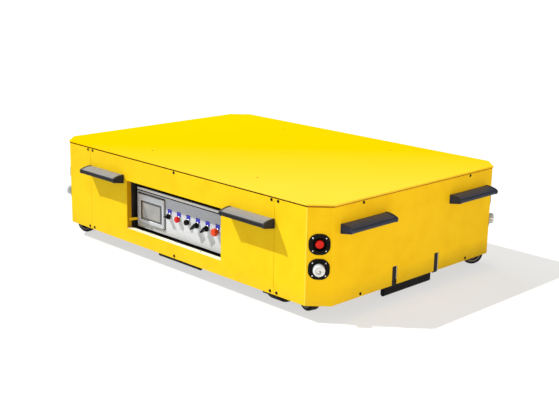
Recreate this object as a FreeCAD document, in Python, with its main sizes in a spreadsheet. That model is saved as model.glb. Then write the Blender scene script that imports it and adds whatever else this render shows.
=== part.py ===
import FreeCAD, Part
import math
import os
import Sketcher

# Flat-deck automated guided vehicle.
# Millimetres. Origin on the floor under the middle of the deck, +X to the front end,
# -Y to the control side, +Z up.

Vector = FreeCAD.Vector
Rotation = FreeCAD.Rotation
Placement = FreeCAD.Placement

DIMENSIONS = {
    # deck
    "deck_length": 1800,
    "deck_width": 1228,
    "deck_thickness": 6,
    "deck_corner": 81,
    "deck_top": 485,
    "deck_edge": 1.5,
    "fixture_hole_x": 364,
    "fixture_hole_y": 445,
    "fixture_hole_radius": 5.1,
    "fixture_boss_radius": 10,
    "fixture_boss_depth": 12,
    # skirt of bent sheet
    "skirt_bottom": 68,
    "skirt_inset_x": 7,
    "skirt_inset_y": 3,
    "skirt_corner": 75,
    "skirt_sheet": 3,
    "skirt_top_gap": 6,
    "seam_reach": 640,
    "seam_gap": 1.5,
    "bend_radius": 8,
    "slot_spacing": 288,
    "slot_width": 32,
    "slot_height": 83,
    # control window
    "window_left": -353,
    "window_right": 316,
    "window_bottom": 135,
    "window_top": 366,
    "return_depth": 24,
    "return_sheet": 2,
    # frame of tubes and flat bars
    "tube_wall": 4,
    "rail_width": 40,
    "rail_height": 60,
    "upper_rail_reach": 820,
    "post_size": 40,
    "bar_thickness": 10,
    "seam_bar_width": 80,
    "end_bar_width": 60,
    "end_bar_spacing": 724,
    "sill_bar_height": 28,
    "lower_rail_bottom": 140,
    "lower_rail_height": 60,
    "lower_rail_width": 50,
    "lower_rail_spacing": 600,
    "lower_cross_spacing": 500,
    "upper_cross_spacing": 660,
    "caster_arm_width": 60,
    "drive_arm_width": 50,
    "drive_arm_reach": 417,
    "arm_end_reach": 560,
    # control box and panel
    "panel_recess": 56,
    "panel_sheet": 3,
    "panel_side_gap": 10,
    "panel_foot_gap": 11,
    "panel_head_gap": 32,
    "panel_strip_height": 15,
    "panel_strip_gap": 5,
    "panel_post_radius": 6,
    "panel_post_inset": 24,
    "panel_post_drop": 48,
    "box_margin": 15,
    "box_depth": 222,
    "box_sheet": 2,
    "box_front_gap": 3,
    "control_height": 235,
    "control_first": -100,
    "control_pitch": 66.5,
    "control_count": 6,
    # operator screen
    "screen_centre": -233,
    "screen_height": 241,
    "screen_frame_width": 196,
    "screen_frame_height": 154,
    "screen_frame_depth": 9,
    "screen_width": 156,
    "screen_tall": 88,
    "screen_drop": 13,
    "screen_shift": 4,
    "screen_recess": 4,
    "screen_glass": 3,
    "screen_border": 2,
    # panel controls
    "stem_radius": 11,
    "stem_back": 15,
    "running_gap": 0.05,
    "panel_hole_radius": 11.3,
    "collar_radius": 14.5,
    "collar_height": 5,
    "collar_edge": 1,
    "button_gap": 5,
    "button_height": 10,
    "red_button_radius": 14,
    "black_button_radius": 12.5,
    "button_dome": 4,
    "selector_gap": 1,
    "selector_disc_radius": 13,
    "selector_disc_height": 6,
    "selector_handle_length": 36,
    "selector_handle_width": 9,
    "selector_handle_height": 21,
    "lever_taper": 0.7,
    "selector_turn": 225,
    "key_handle_length": 24,
    "key_handle_width": 6,
    "key_handle_height": 17,
    "key_turn": 180,
    "stop_head_radius": 17.5,
    "stop_neck": 9,
    "stop_head_height": 16,
    "stop_head_rim": 7,
    # corner lamps and emergency stops
    "bezel_size": 86,
    "bezel_corner": 36,
    "bezel_depth": 4,
    "bezel_edge": 1.5,
    "stop_height": 324,
    "stop_cup_radius": 32,
    "stop_cup_depth": 22,
    "stop_recess_radius": 28,
    "stop_recess_floor": 4,
    "corner_head_radius": 17,
    "corner_head_gap": 9.5,
    "corner_head_height": 13,
    "corner_head_dome": 4,
    "sheet_hole_radius": 32.5,
    "lamp_height": 222,
    "lamp_ring_radius": 29,
    "lamp_ring_height": 2,
    "lamp_socket_floor": 1.5,
    "lamp_socket_gap": 0.2,
    "lamp_radius": 24.5,
    "lamp_reach": 31,
    "lamp_dome": 9,
    # obstacle sensor bars
    "side_sensor_length": 253,
    "end_sensor_length": 262,
    "sensor_back": 38,
    "sensor_reach": 57,
    "sensor_nose_top": 28,
    "sensor_nose_foot": 9,
    "sensor_nose_radius": 12,
    "sensor_top_radius": 120,
    "sensor_cap_length": 9,
    "sensor_cap_rim": 1.5,
    "cap_field_inset": 4,
    "cap_field_depth": 2,
    "side_sensor_spacing": 1014,
    "side_sensor_bottom": 350,
    "end_sensor_spacing": 712,
    "end_sensor_bottom": 362,
    # floor guide sensors
    "guide_length": 320,
    "guide_thickness": 20,
    "guide_height": 53,
    "guide_edge": 6,
    "end_guide_bottom": 7,
    "end_guide_setback": 39,
    "side_guide_length": 290,
    "side_guide_bottom": 41,
    "side_guide_setback": 25,
    "side_guide_height": 34,
    "guide_arm_width": 30,
    "guide_arm_thickness": 12,
    "guide_arm_drop": 30,
    "guide_arm_leg": 48,
    "guide_arm_gap": 1,
    # battery
    "battery_length": 640,
    "battery_width": 430,
    "battery_height": 165,
    "battery_edge": 8,
    "battery_lid": 24,
    "battery_lid_step": 6,
    "tray_gap": 4,
    "tray_sheet": 3,
    "tray_wall": 45,
    # casters
    "caster_inset_x": 115,
    "caster_inset_y": 108,
    "caster_trail": 44,
    "caster_wheel_radius": 50,
    "caster_core_radius": 38,
    "caster_tyre_width": 46,
    "caster_tyre_round": 8,
    "caster_hub_width": 50,
    "caster_hub_radius": 14,
    "caster_web_width": 16,
    "caster_rim_inner": 31,
    "caster_axle_radius": 6,
    "caster_leg_gap": 1,
    "caster_leg_thickness": 5,
    "caster_leg_round": 15,
    "caster_leg_front": 20,
    "caster_leg_back": 32,
    "caster_crown_radius": 36,
    "caster_crown_height": 12,
    "caster_race_gap": 0.5,
    "caster_race_radius": 33,
    "caster_race_height": 8,
    "caster_plate_length": 104,
    "caster_plate_width": 86,
    "caster_plate_thickness": 8,
    "caster_plate_corner": 10,
    "king_pin_radius": 8,
    "axle_head_width": 19,
    "axle_head_height": 7,
    "swivel_front_right": 168,
    "swivel_front_left": 48,
    "swivel_rear_right": 198,
    "swivel_rear_left": 132,
    # steered drive units
    "drive_x": 583,
    "drive_y": 488,
    "drive_wheel_radius": 90,
    "drive_tyre_width": 66,
    "drive_tyre_round": 6,
    "drive_core_radius": 72,
    "drive_rim_width": 58,
    "drive_rim_inner": 60,
    "drive_web_width": 20,
    "drive_hub_radius": 30,
    "output_shaft_radius": 20,
    "output_shaft_depth": 25,
    "shaft_end_gap": 1,
    "wheel_flange_gap": 1,
    "case_inner": 52,
    "case_outer": 90,
    "case_width": 92,
    "case_bottom": 20,
    "case_corner": 8,
    "case_foot_corner": 5,
    "table_bottom": 186,
    "table_thickness": 10,
    "table_radius": 100,
    "neck_radius": 60,
    "neck_top": 240,
    "mount_plate_thickness": 12,
    "mount_plate_inner": 335,
    "mount_plate_outer": 580,
    "mount_plate_corner": 20,
    "mount_collar_radius": 76,
    "mount_collar_height": 4,
    "gear_bottom": 218,
    "gear_thickness": 20,
    "gear_module": 4,
    "tooth_depth_in_modules": 1.25,
    "gear_teeth": 48,
    "pinion_teeth": 16,
    "tooth_root_half": 4.2,
    "tooth_tip_half": 1.3,
    "pinion_root_half": 3.4,
    "pinion_tip_half": 1.1,
    "pinion_shaft_radius": 10,
    "pinion_shaft_length": 24,
    "motor_bracket_gap": 8,
    "motor_bracket_plate": 10,
    "motor_bracket_width": 84,
    "motor_bracket_reach": 52,
    "steer_motor_radius": 38,
    "steer_motor_height": 112,
    "steer_motor_edge": 6,
    "traction_radius": 56,
    "traction_height": 145,
    "traction_edge": 8,
    "traction_foot_radius": 66,
    "traction_foot_height": 14,
    "fin_count": 20,
    "fin_depth": 7,
    "fin_width": 5,
}


class Size:
    """A number together with the sheet expression that gives it."""

    def __init__(self, value, text):
        self.value = float(value)
        self.text = text

    def __add__(self, other):
        other = as_size(other)
        return Size(self.value + other.value, "(%s + %s)" % (self.text, other.text))

    def __sub__(self, other):
        other = as_size(other)
        return Size(self.value - other.value, "(%s - %s)" % (self.text, other.text))

    def __mul__(self, other):
        other = as_size(other)
        return Size(self.value * other.value, "(%s * %s)" % (self.text, other.text))

    def __truediv__(self, other):
        other = as_size(other)
        return Size(self.value / other.value, "(%s / %s)" % (self.text, other.text))

    def __neg__(self):
        return Size(-self.value, "(0 - %s)" % self.text)

    __radd__ = __add__
    __rmul__ = __mul__


def as_size(value):
    """A plain number as a Size."""
    if isinstance(value, Size):
        return value
    return Size(value, "(%r)" % float(value))


class Names:
    """Holds one Size for each cell of the sheet."""


doc = FreeCAD.newDocument("guided_vehicle")
size = Names()


def fill_sheet():
    """Writes the driving dimensions into the document's sheet."""
    sheet = doc.addObject("Spreadsheet::Sheet", "dims")
    for row, (alias, value) in enumerate(DIMENSIONS.items(), start=1):
        sheet.set("A%d" % row, alias)
        sheet.set("B%d" % row, str(value))
        sheet.setAlias("B%d" % row, alias)
        setattr(size, alias, Size(value, "dims." + alias))
    doc.recompute()


# Drawing helpers


def bind(target, name, value):
    """Sets a property from a Size and ties it to the sheet."""
    value = as_size(value)
    target.setExpression(name, value.text)


def new_body(label):
    return doc.addObject("PartDesign::Body", label)


def new_sketch(body, name, plane, start=0, offset=None):
    """A sketch on one of the body's own planes, moved out along the plane's normal."""
    sketch = body.newObject("Sketcher::SketchObject", name)
    for feature in body.Origin.OriginFeatures:
        if feature.Role == plane:
            sketch.AttachmentSupport = [(feature, "")]
    sketch.MapMode = "FlatFace"
    if offset is not None:
        sketch.AttachmentOffset = offset
    bind(sketch, "AttachmentOffset.Base.z", start)
    return sketch


def pin_point(sketch, geometry, point, x, y):
    """Fixes a point of the sketch at x, y."""
    for kind, value in (("DistanceX", x), ("DistanceY", y)):
        value = as_size(value)
        constraint = Sketcher.Constraint(kind, -1, 1, geometry, point, value.value)
        index = sketch.addConstraint(constraint)
        sketch.setExpression("Constraints[%d]" % index, value.text)


def flat(point):
    return Vector(as_size(point[0]).value, as_size(point[1]).value, 0)


def arc_between(start, end, radius):
    """The short arc from start to end that bulges to the right of the way from one to the other."""
    middle = (start + end) * 0.5
    chord = end - start
    half = chord.Length / 2
    right = Vector(chord.y, -chord.x, 0).normalize()
    rise = radius - math.sqrt(radius * radius - half * half)
    return Part.Arc(start, middle + right * rise, end)


def draw_outline(sketch, points, arcs=None):
    """A closed outline through points; arcs maps a side's number to its radius."""
    arcs = arcs or {}
    count = len(points)
    ends = []
    for side in range(count):
        start = flat(points[side])
        end = flat(points[(side + 1) % count])
        if side in arcs:
            radius = as_size(arcs[side])
            curve = arc_between(start, end, radius.value)
        else:
            curve = Part.LineSegment(start, end)
        geometry = sketch.addGeometry(curve, False)
        first = 1
        if side in arcs:
            made = sketch.Geometry[geometry]
            if (made.StartPoint - start).Length > (made.EndPoint - start).Length:
                first = 2
            index = sketch.addConstraint(Sketcher.Constraint("Radius", geometry, radius.value))
            sketch.setExpression("Constraints[%d]" % index, radius.text)
        ends.append((geometry, first, 3 - first))
    for side in range(count):
        here = ends[side]
        after = ends[(side + 1) % count]
        sketch.addConstraint(Sketcher.Constraint("Coincident", here[0], here[2], after[0], after[1]))
    for (geometry, first, _), point in zip(ends, points):
        pin_point(sketch, geometry, first, point[0], point[1])


def draw_rectangle(sketch, left, bottom, right, top):
    draw_outline(sketch, [(left, bottom), (right, bottom), (right, top), (left, top)])


def draw_centred(sketch, width, height, x=0, y=0):
    """A rectangle about x, y."""
    x = as_size(x)
    y = as_size(y)
    half_width = as_size(width) / 2
    half_height = as_size(height) / 2
    draw_rectangle(sketch, x - half_width, y - half_height, x + half_width, y + half_height)


def draw_circle(sketch, radius, x=0, y=0):
    radius = as_size(radius)
    centre = flat((x, y))
    geometry = sketch.addGeometry(Part.Circle(centre, Vector(0, 0, 1), radius.value), False)
    index = sketch.addConstraint(Sketcher.Constraint("Radius", geometry, radius.value))
    sketch.setExpression("Constraints[%d]" % index, radius.text)
    pin_point(sketch, geometry, 3, x, y)


def draw_hexagon(sketch, across_flats):
    """A regular hexagon about the sketch's origin."""
    across = as_size(across_flats)
    corner = across / math.sqrt(3)
    points = []
    for turn in range(6):
        angle = math.radians(60 * turn)
        points.append((corner * math.cos(angle), corner * math.sin(angle)))
    draw_outline(sketch, points)


def add_pad(body, name, sketch, length):
    """Material from the sketch along its normal."""
    pad = body.newObject("PartDesign::Pad", name)
    pad.Profile = sketch
    bind(pad, "Length", length)
    return pad


def add_pocket(body, name, sketch, length):
    """A cut from the sketch along its normal, which has to remove something."""
    doc.recompute()
    before = body.Shape.Volume
    pocket = body.newObject("PartDesign::Pocket", name)
    pocket.Profile = sketch
    pocket.Reversed = True
    bind(pocket, "Length", length)
    doc.recompute()
    if body.Shape.Volume >= before:
        raise ValueError(name + " removes nothing")
    return pocket


def add_revolution(body, name, points, arcs=None):
    """A turned piece about local Z: points are (radius, height)."""
    sketch = new_sketch(body, name + "_profile", "XZ_Plane")
    draw_outline(sketch, points, arcs)
    turned = body.newObject("PartDesign::Revolution", name)
    turned.Profile = sketch
    turned.ReferenceAxis = (sketch, ["V_Axis"])
    turned.Angle = 360
    return turned


def add_polar_pattern(body, name, feature, count):
    """Repeats a feature about local Z."""
    pattern = body.newObject("PartDesign::PolarPattern", name)
    pattern.Originals = [feature]
    for axis in body.Origin.OriginFeatures:
        if axis.Role == "Z_Axis":
            pattern.Axis = (axis, [""])
    pattern.Angle = 360
    bind(pattern, "Occurrences", count)
    body.Tip = pattern
    return pattern


def find_edges(shape, test):
    """Names of the edges whose middle point and edge pass the test."""
    names = []
    for number, edge in enumerate(shape.Edges, start=1):
        middle = edge.valueAt((edge.FirstParameter + edge.LastParameter) / 2)
        if test(middle, edge):
            names.append("Edge%d" % number)
    return names


def dress_edges(body, kind, name, amount, test):
    """Fillet or Chamfer on the edges that pass the test."""
    doc.recompute()
    base = body.Tip
    names = find_edges(base.Shape, test)
    if not names:
        raise ValueError(name + " finds no edge")
    dress = body.newObject("PartDesign::" + kind, name)
    dress.Base = (base, names)
    bind(dress, "Radius" if kind == "Fillet" else "Size", amount)
    return dress


def near(value, target, tolerance=0.01):
    return abs(value - as_size(target).value) < tolerance


def is_upright(edge):
    """A straight edge along local Z."""
    if not isinstance(edge.Curve, Part.Line):
        return False
    return abs(abs(edge.Curve.Direction.z) - 1) < 1e-6


def facing(yaw):
    """Local Z to the level direction at yaw degrees from +X, local Y up."""
    return Rotation(Vector(0, 0, 1), yaw) * Rotation(Vector(1, 1, 1), 120)


def copy_of(source, label, x=0, y=0, z=0, rotation=None):
    """A placed copy of a body."""
    link = doc.addObject("App::Link", label)
    link.LinkedObject = source
    place = (as_size(x), as_size(y), as_size(z))
    base = Vector(*[part.value for part in place])
    link.Placement = Placement(base, rotation or Rotation())
    for axis, part in zip("xyz", place):
        bind(link, "Placement.Base." + axis, part)
    return link


def group_of(label, pieces):
    """Separate solids that share one node."""
    group = doc.addObject("Part::Compound", label)
    group.Links = pieces
    group.Label = label
    return group


# Places that several pieces share


fill_sheet()

HALF_TURN = Rotation(Vector(0, 0, 1), 180)
CONTROL_YAW = -90
PLAIN_YAW = 90
FRONT_YAW = 0
REAR_YAW = 180
ROOT_TWO = math.sqrt(2)
# A half-round end is drawn with a radius a hair above half its width
HALF_ROUND = 1.001

deck_x = size.deck_length / 2
deck_y = size.deck_width / 2
deck_bottom = size.deck_top - size.deck_thickness
skirt_x = deck_x - size.skirt_inset_x
skirt_y = deck_y - size.skirt_inset_y
skirt_top = deck_bottom - size.skirt_top_gap
skirt_height = skirt_top - size.skirt_bottom
inner_x = skirt_x - size.skirt_sheet
inner_y = skirt_y - size.skirt_sheet
lower_rail_top = size.lower_rail_bottom + size.lower_rail_height
caster_x = skirt_x - size.caster_inset_x
caster_y = skirt_y - size.caster_inset_y
corner_x = skirt_x - size.skirt_corner / 2
corner_y = skirt_y - size.skirt_corner / 2
panel_front = skirt_y - size.panel_recess

# name, sign of X, sign of Y, direction of the cut corner's face
CORNERS = (
    ("front_right", 1, -1, -45),
    ("front_left", 1, 1, 45),
    ("rear_left", -1, 1, 135),
    ("rear_right", -1, -1, -135),
)


# Deck and skirt


def cut_corner_outline(half_x, half_y, corner):
    """A rectangle with its four corners cut at 45 degrees."""
    return [
        (half_x - corner, -half_y),
        (half_x, corner - half_y),
        (half_x, half_y - corner),
        (half_x - corner, half_y),
        (corner - half_x, half_y),
        (-half_x, half_y - corner),
        (-half_x, corner - half_y),
        (corner - half_x, -half_y),
    ]


def make_deck_plate():
    """The load deck, with a tapped boss under each fixture hole."""
    body = new_body("deck_plate")
    sketch = new_sketch(body, "deck_outline", "XY_Plane", deck_bottom)
    draw_outline(sketch, cut_corner_outline(deck_x, deck_y, size.deck_corner))
    bosses = new_sketch(body, "boss_outlines", "XY_Plane", deck_bottom - size.fixture_boss_depth)
    for side_x in (-1, 1):
        for side_y in (-1, 1):
            place = (size.fixture_hole_x * side_x, size.fixture_hole_y * side_y)
            draw_circle(sketch, size.fixture_hole_radius, *place)
            draw_circle(bosses, size.fixture_boss_radius, *place)
            draw_circle(bosses, size.fixture_hole_radius, *place)
    add_pad(body, "deck_sheet", sketch, size.deck_thickness)
    add_pad(body, "fixture_bosses", bosses, size.fixture_boss_depth)

    def on_top_rim(middle, edge):
        return near(middle.z, size.deck_top) and isinstance(edge.Curve, Part.Line)

    dress_edges(body, "Chamfer", "deck_rim", size.deck_edge, on_top_rim)
    return body


def end_shell_outline():
    """The bent sheet seen from above: outside face first, then back along the inside."""
    seam = size.seam_reach + size.seam_gap / 2
    corner = size.skirt_corner
    inner_shift = size.skirt_sheet * (ROOT_TWO - 1)
    outside = [
        (seam, -skirt_y),
        (skirt_x - corner, -skirt_y),
        (skirt_x, corner - skirt_y),
        (skirt_x, skirt_y - corner),
        (skirt_x - corner, skirt_y),
        (seam, skirt_y),
    ]
    inside = [
        (seam, inner_y),
        (skirt_x - corner - inner_shift, inner_y),
        (inner_x, skirt_y - corner - inner_shift),
        (inner_x, corner - skirt_y + inner_shift),
        (skirt_x - corner - inner_shift, -inner_y),
        (seam, -inner_y),
    ]
    return outside + inside


def make_end_shell():
    body = new_body("end_shell_front")
    sketch = new_sketch(body, "shell_outline", "XY_Plane", size.skirt_bottom)
    draw_outline(sketch, end_shell_outline())
    add_pad(body, "shell_sheet", sketch, skirt_height)

    def is_bend(middle, edge):
        return is_upright(edge) and middle.x > size.seam_reach.value + size.skirt_corner.value / 2

    outer_bends = set()
    for point in end_shell_outline()[1:5]:
        outer_bends.add((round(point[0].value, 3), round(point[1].value, 3)))

    def is_outer_bend(middle, edge):
        return is_bend(middle, edge) and (round(middle.x, 3), round(middle.y, 3)) in outer_bends

    def is_inner_bend(middle, edge):
        return is_bend(middle, edge) and not is_outer_bend(middle, edge)

    dress_edges(body, "Fillet", "outer_bends", size.bend_radius, is_outer_bend)
    inner_radius = size.bend_radius - size.skirt_sheet
    dress_edges(body, "Fillet", "inner_bends", inner_radius, is_inner_bend)

    slots = new_sketch(body, "slot_outline", "YZ_Plane", inner_x - size.skirt_sheet)
    for side in (-1, 1):
        middle = size.slot_spacing / 2 * side
        left = middle - size.slot_width / 2
        right = middle + size.slot_width / 2
        low = size.skirt_bottom - size.skirt_sheet
        draw_rectangle(slots, left, low, right, size.skirt_bottom + size.slot_height)
    add_pocket(body, "guide_slots", slots, size.skirt_sheet * 3)

    for side, turn in ((-1, -45), (1, 45)):
        offset = Placement(Vector(), Rotation(Vector(0, 1, 0), turn))
        name = "stop_hole_right" if side < 0 else "stop_hole_left"
        holes = new_sketch(body, name + "_outline", "YZ_Plane", corner_x - size.skirt_sheet * 2, offset)
        bind(holes, "AttachmentOffset.Base.x", (corner_y - size.skirt_sheet * 2) * side)
        draw_circle(holes, size.sheet_hole_radius, 0, size.stop_height)
        add_pocket(body, name, holes, size.skirt_sheet * 4)
    return body


def draw_panel(sketch):
    reach = size.seam_reach - size.seam_gap / 2
    draw_rectangle(sketch, -reach, size.skirt_bottom, reach, skirt_top)


def make_plain_panel():
    body = new_body("plain_panel_sheet")
    sketch = new_sketch(body, "panel_outline", "XZ_Plane", inner_y)
    draw_panel(sketch)
    add_pad(body, "panel_plate", sketch, size.skirt_sheet)
    return copy_of(body, "side_panel_plain", rotation=HALF_TURN)


def draw_window(sketch, margin):
    left = size.window_left - margin
    bottom = size.window_bottom - margin
    draw_rectangle(sketch, left, bottom, size.window_right + margin, size.window_top + margin)


def make_control_side_panel():
    """The sheet with the control window and the return folded in around it."""
    body = new_body("side_panel_control")
    sketch = new_sketch(body, "panel_outline", "XZ_Plane", inner_y)
    draw_panel(sketch)
    draw_window(sketch, 0)
    add_pad(body, "panel_plate", sketch, size.skirt_sheet)
    fold = new_sketch(body, "return_outline", "XZ_Plane", inner_y - size.return_depth)
    draw_window(fold, size.return_sheet)
    draw_window(fold, 0)
    add_pad(body, "window_return", fold, size.return_depth)
    return body


# Frame


def make_tube(name, length, width, height):
    """A square-section tube along local X, about its own middle."""
    body = new_body(name)
    sketch = new_sketch(body, name + "_section", "YZ_Plane", -(as_size(length) / 2))
    draw_centred(sketch, width, height)
    draw_centred(sketch, width - size.tube_wall * 2, height - size.tube_wall * 2)
    add_pad(body, name + "_wall", sketch, length)
    return body


def make_bar(name, length, width, height):
    """A flat bar, length along local X, about its own middle."""
    body = new_body(name)
    sketch = new_sketch(body, name + "_section", "YZ_Plane", -(as_size(length) / 2))
    draw_centred(sketch, width, height)
    add_pad(body, name + "_solid", sketch, length)
    return body


def mirrored_copies(source, label, x, y, z, rotation=None):
    """Copies at plus and minus x and y; a coordinate of 0 gives one copy on that axis."""
    copies = []
    for sign_x in ((1,) if as_size(x).value == 0 else (1, -1)):
        for sign_y in ((1,) if as_size(y).value == 0 else (1, -1)):
            name = "%s_%d" % (label, len(copies) + 1)
            copies.append(copy_of(source, name, as_size(x) * sign_x, as_size(y) * sign_y, z, rotation))
    return copies


def make_chassis_frame():
    quarter = Rotation(Vector(0, 0, 1), 90)
    upright = Rotation(Vector(0, 1, 0), 90)
    bar_y = inner_y - size.bar_thickness / 2
    rail_outer = inner_y - size.bar_thickness
    rail_inner = rail_outer - size.rail_width
    rail_z = deck_bottom - size.rail_height / 2
    pieces = []

    upper_rail = make_tube("upper_rail", size.upper_rail_reach * 2, size.rail_width, size.rail_height)
    pieces += mirrored_copies(upper_rail, "upper_rail", 0, rail_outer - size.rail_width / 2, rail_z)

    upper_cross = make_tube("upper_cross", rail_inner * 2, size.rail_width, size.rail_height)
    end_x = size.upper_rail_reach - size.rail_width / 2
    pieces += mirrored_copies(upper_cross, "upper_end_rail", end_x, 0, rail_z, quarter)
    cross_x = size.upper_cross_spacing / 2
    pieces += mirrored_copies(upper_cross, "upper_cross", cross_x, 0, rail_z, quarter)

    lower_z = size.lower_rail_bottom + size.lower_rail_height / 2
    lower_y = size.lower_rail_spacing / 2
    lower_rail = make_tube(
        "lower_rail", size.upper_rail_reach * 2, size.lower_rail_width, size.lower_rail_height)
    pieces += mirrored_copies(lower_rail, "lower_rail", 0, lower_y, lower_z)
    lower_inner = size.lower_rail_spacing - size.lower_rail_width
    lower_cross = make_tube("lower_cross", lower_inner, size.lower_rail_width, size.lower_rail_height)
    lower_end_x = size.upper_rail_reach - size.lower_rail_width / 2
    pieces += mirrored_copies(lower_cross, "lower_end", lower_end_x, 0, lower_z, quarter)
    lower_cross_x = size.lower_cross_spacing / 2
    pieces += mirrored_copies(lower_cross, "lower_cross", lower_cross_x, 0, lower_z, quarter)

    arm_start = lower_y + size.lower_rail_width / 2
    arm_length = size.arm_end_reach - arm_start
    arm_y = arm_start + arm_length / 2
    caster_arm = make_tube("caster_arm", arm_length, size.caster_arm_width, size.lower_rail_height)
    pieces += mirrored_copies(caster_arm, "caster_arm", caster_x, arm_y, lower_z, quarter)
    drive_arm = make_tube("drive_arm", arm_length, size.drive_arm_width, size.lower_rail_height)
    pieces += mirrored_copies(drive_arm, "drive_arm", size.drive_arm_reach, arm_y, lower_z, quarter)

    post_length = deck_bottom - size.rail_height - lower_rail_top
    post_z = lower_rail_top + post_length / 2
    post = make_tube("post", post_length, size.post_size, size.post_size)
    pieces += mirrored_copies(post, "end_post", end_x, lower_y, post_z, upright)
    pieces += mirrored_copies(post, "middle_post", cross_x, lower_y, post_z, upright)

    bar_z = size.skirt_bottom + skirt_height / 2
    seam_bar = make_bar("seam_bar", skirt_height, size.bar_thickness, size.seam_bar_width)
    pieces += mirrored_copies(seam_bar, "seam_bar", size.seam_reach, bar_y, bar_z, upright)
    sill_length = size.seam_reach * 2 - size.seam_bar_width
    sill_bar = make_bar("sill_bar", sill_length, size.bar_thickness, size.sill_bar_height)
    sill_z = size.skirt_bottom + size.sill_bar_height / 2
    pieces += mirrored_copies(sill_bar, "sill_bar", 0, bar_y, sill_z)

    end_bar = make_bar("end_bar", skirt_height, size.end_bar_width, size.bar_thickness)
    end_bar_x = inner_x - size.bar_thickness / 2
    end_bar_y = size.end_bar_spacing / 2
    pieces += mirrored_copies(end_bar, "end_bar", end_bar_x, end_bar_y, bar_z, upright)
    stub_reach = inner_x - size.bar_thickness
    upper_stub_length = stub_reach - size.upper_rail_reach
    upper_stub = make_tube("upper_stub", upper_stub_length, size.end_bar_width, size.rail_width)
    upper_stub_x = size.upper_rail_reach + upper_stub_length / 2
    stub_z = deck_bottom - size.rail_height / 2
    pieces += mirrored_copies(upper_stub, "upper_stub", upper_stub_x, end_bar_y, stub_z)
    arm_side = caster_x + size.caster_arm_width / 2
    lower_stub_length = stub_reach - arm_side
    lower_stub = make_tube("lower_stub", lower_stub_length, size.end_bar_width, size.rail_width)
    lower_stub_x = arm_side + lower_stub_length / 2
    pieces += mirrored_copies(lower_stub, "lower_stub", lower_stub_x, end_bar_y, lower_z)
    return group_of("chassis_frame", pieces)


# Control box and its panel


CONTROL_NUMBERS = range(int(size.control_count.value))


def control_x(number):
    return size.control_first + size.control_pitch * number


def panel_outline():
    """Left, bottom, strip line, right and top of the panel in its window."""
    left = size.window_left + size.panel_side_gap
    right = size.window_right - size.panel_side_gap
    bottom = size.window_bottom + size.panel_foot_gap
    top = size.window_top - size.panel_head_gap
    return left, bottom, top - size.panel_strip_height, right, top


def make_control_box():
    """Open-fronted sheet box behind the window, with the posts that the panel stands on."""
    body = new_body("control_box")
    front = inner_y - size.return_depth - size.box_front_gap
    back = front - size.box_depth
    margin = size.box_margin
    outer = new_sketch(body, "box_outline", "XZ_Plane", back)
    draw_window(outer, margin)
    add_pad(body, "box_block", outer, size.box_depth)
    inner = new_sketch(body, "box_hollow", "XZ_Plane", back + size.box_sheet)
    draw_window(inner, margin - size.box_sheet)
    add_pocket(body, "box_room", inner, size.box_depth)
    left, bottom, line, right, top = panel_outline()
    inset = size.panel_post_inset
    posts = new_sketch(body, "post_sections", "XZ_Plane", back)
    for x in (left + inset, right - inset):
        for z in (bottom + inset, line - size.panel_post_drop, (line + top) / 2):
            draw_circle(posts, size.panel_post_radius, x, z)
    add_pad(body, "panel_posts", posts, panel_front - size.panel_sheet - back)
    return body


def make_control_panel():
    """The plate that carries the controls, and the narrow strip above it."""
    left, bottom, line, right, top = panel_outline()
    back = panel_front - size.panel_sheet
    plate = new_body("panel_plate")
    outline = new_sketch(plate, "plate_outline", "XZ_Plane", back)
    draw_rectangle(outline, left, bottom, right, line - size.panel_strip_gap)
    for number in CONTROL_NUMBERS:
        draw_circle(outline, size.panel_hole_radius, control_x(number), size.control_height)
    add_pad(plate, "plate_sheet", outline, size.panel_sheet)
    strip = new_body("panel_strip")
    strip_outline = new_sketch(strip, "strip_outline", "XZ_Plane", back)
    draw_rectangle(strip_outline, left, line, right, top)
    add_pad(strip, "strip_sheet", strip_outline, size.panel_sheet)
    return group_of("control_panel", [plate, strip])


def make_screen():
    """The operator screen's frame and its glass."""
    frame = new_body("screen_frame_master")
    outline = new_sketch(frame, "frame_outline", "XY_Plane")
    draw_centred(outline, size.screen_frame_width, size.screen_frame_height)
    add_pad(frame, "frame_block", outline, size.screen_frame_depth)

    def is_front_rim(middle, edge):
        return near(middle.z, size.screen_frame_depth)

    dress_edges(frame, "Chamfer", "frame_rim", size.screen_border, is_front_rim)
    floor = size.screen_frame_depth - size.screen_recess
    hollow = new_sketch(frame, "glass_seat", "XY_Plane", floor)
    seat_width = size.screen_width + size.screen_border * 2
    seat_tall = size.screen_tall + size.screen_border * 2
    draw_centred(hollow, seat_width, seat_tall, size.screen_shift, -size.screen_drop)
    add_pocket(frame, "glass_recess", hollow, size.screen_recess)

    glass = new_body("screen_glass_master")
    pane = new_sketch(glass, "glass_outline", "XY_Plane", floor)
    draw_centred(pane, size.screen_width, size.screen_tall, size.screen_shift, -size.screen_drop)
    add_pad(glass, "glass_pane", pane, size.screen_glass)

    place = (size.screen_centre, -panel_front, size.screen_height, facing(CONTROL_YAW))
    return [copy_of(frame, "hmi_frame", *place), copy_of(glass, "hmi_screen", *place)]


def add_stem(body, top):
    """The round stem that goes through a collar and the panel."""
    sketch = new_sketch(body, "stem_section", "XY_Plane", -size.stem_back)
    draw_circle(sketch, size.stem_radius)
    add_pad(body, "stem", sketch, size.stem_back + top)


def add_disc(body, name, radius, start, height):
    sketch = new_sketch(body, name + "_section", "XY_Plane", start)
    draw_circle(sketch, radius)
    add_pad(body, name, sketch, height)


def round_front(body, name, amount, top):
    """Rounds the front rim of a round head."""

    def is_front_rim(middle, edge):
        return near(middle.z, top) and not isinstance(edge.Curve, Part.Line)

    dress_edges(body, "Fillet", name, amount, is_front_rim)


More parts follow.
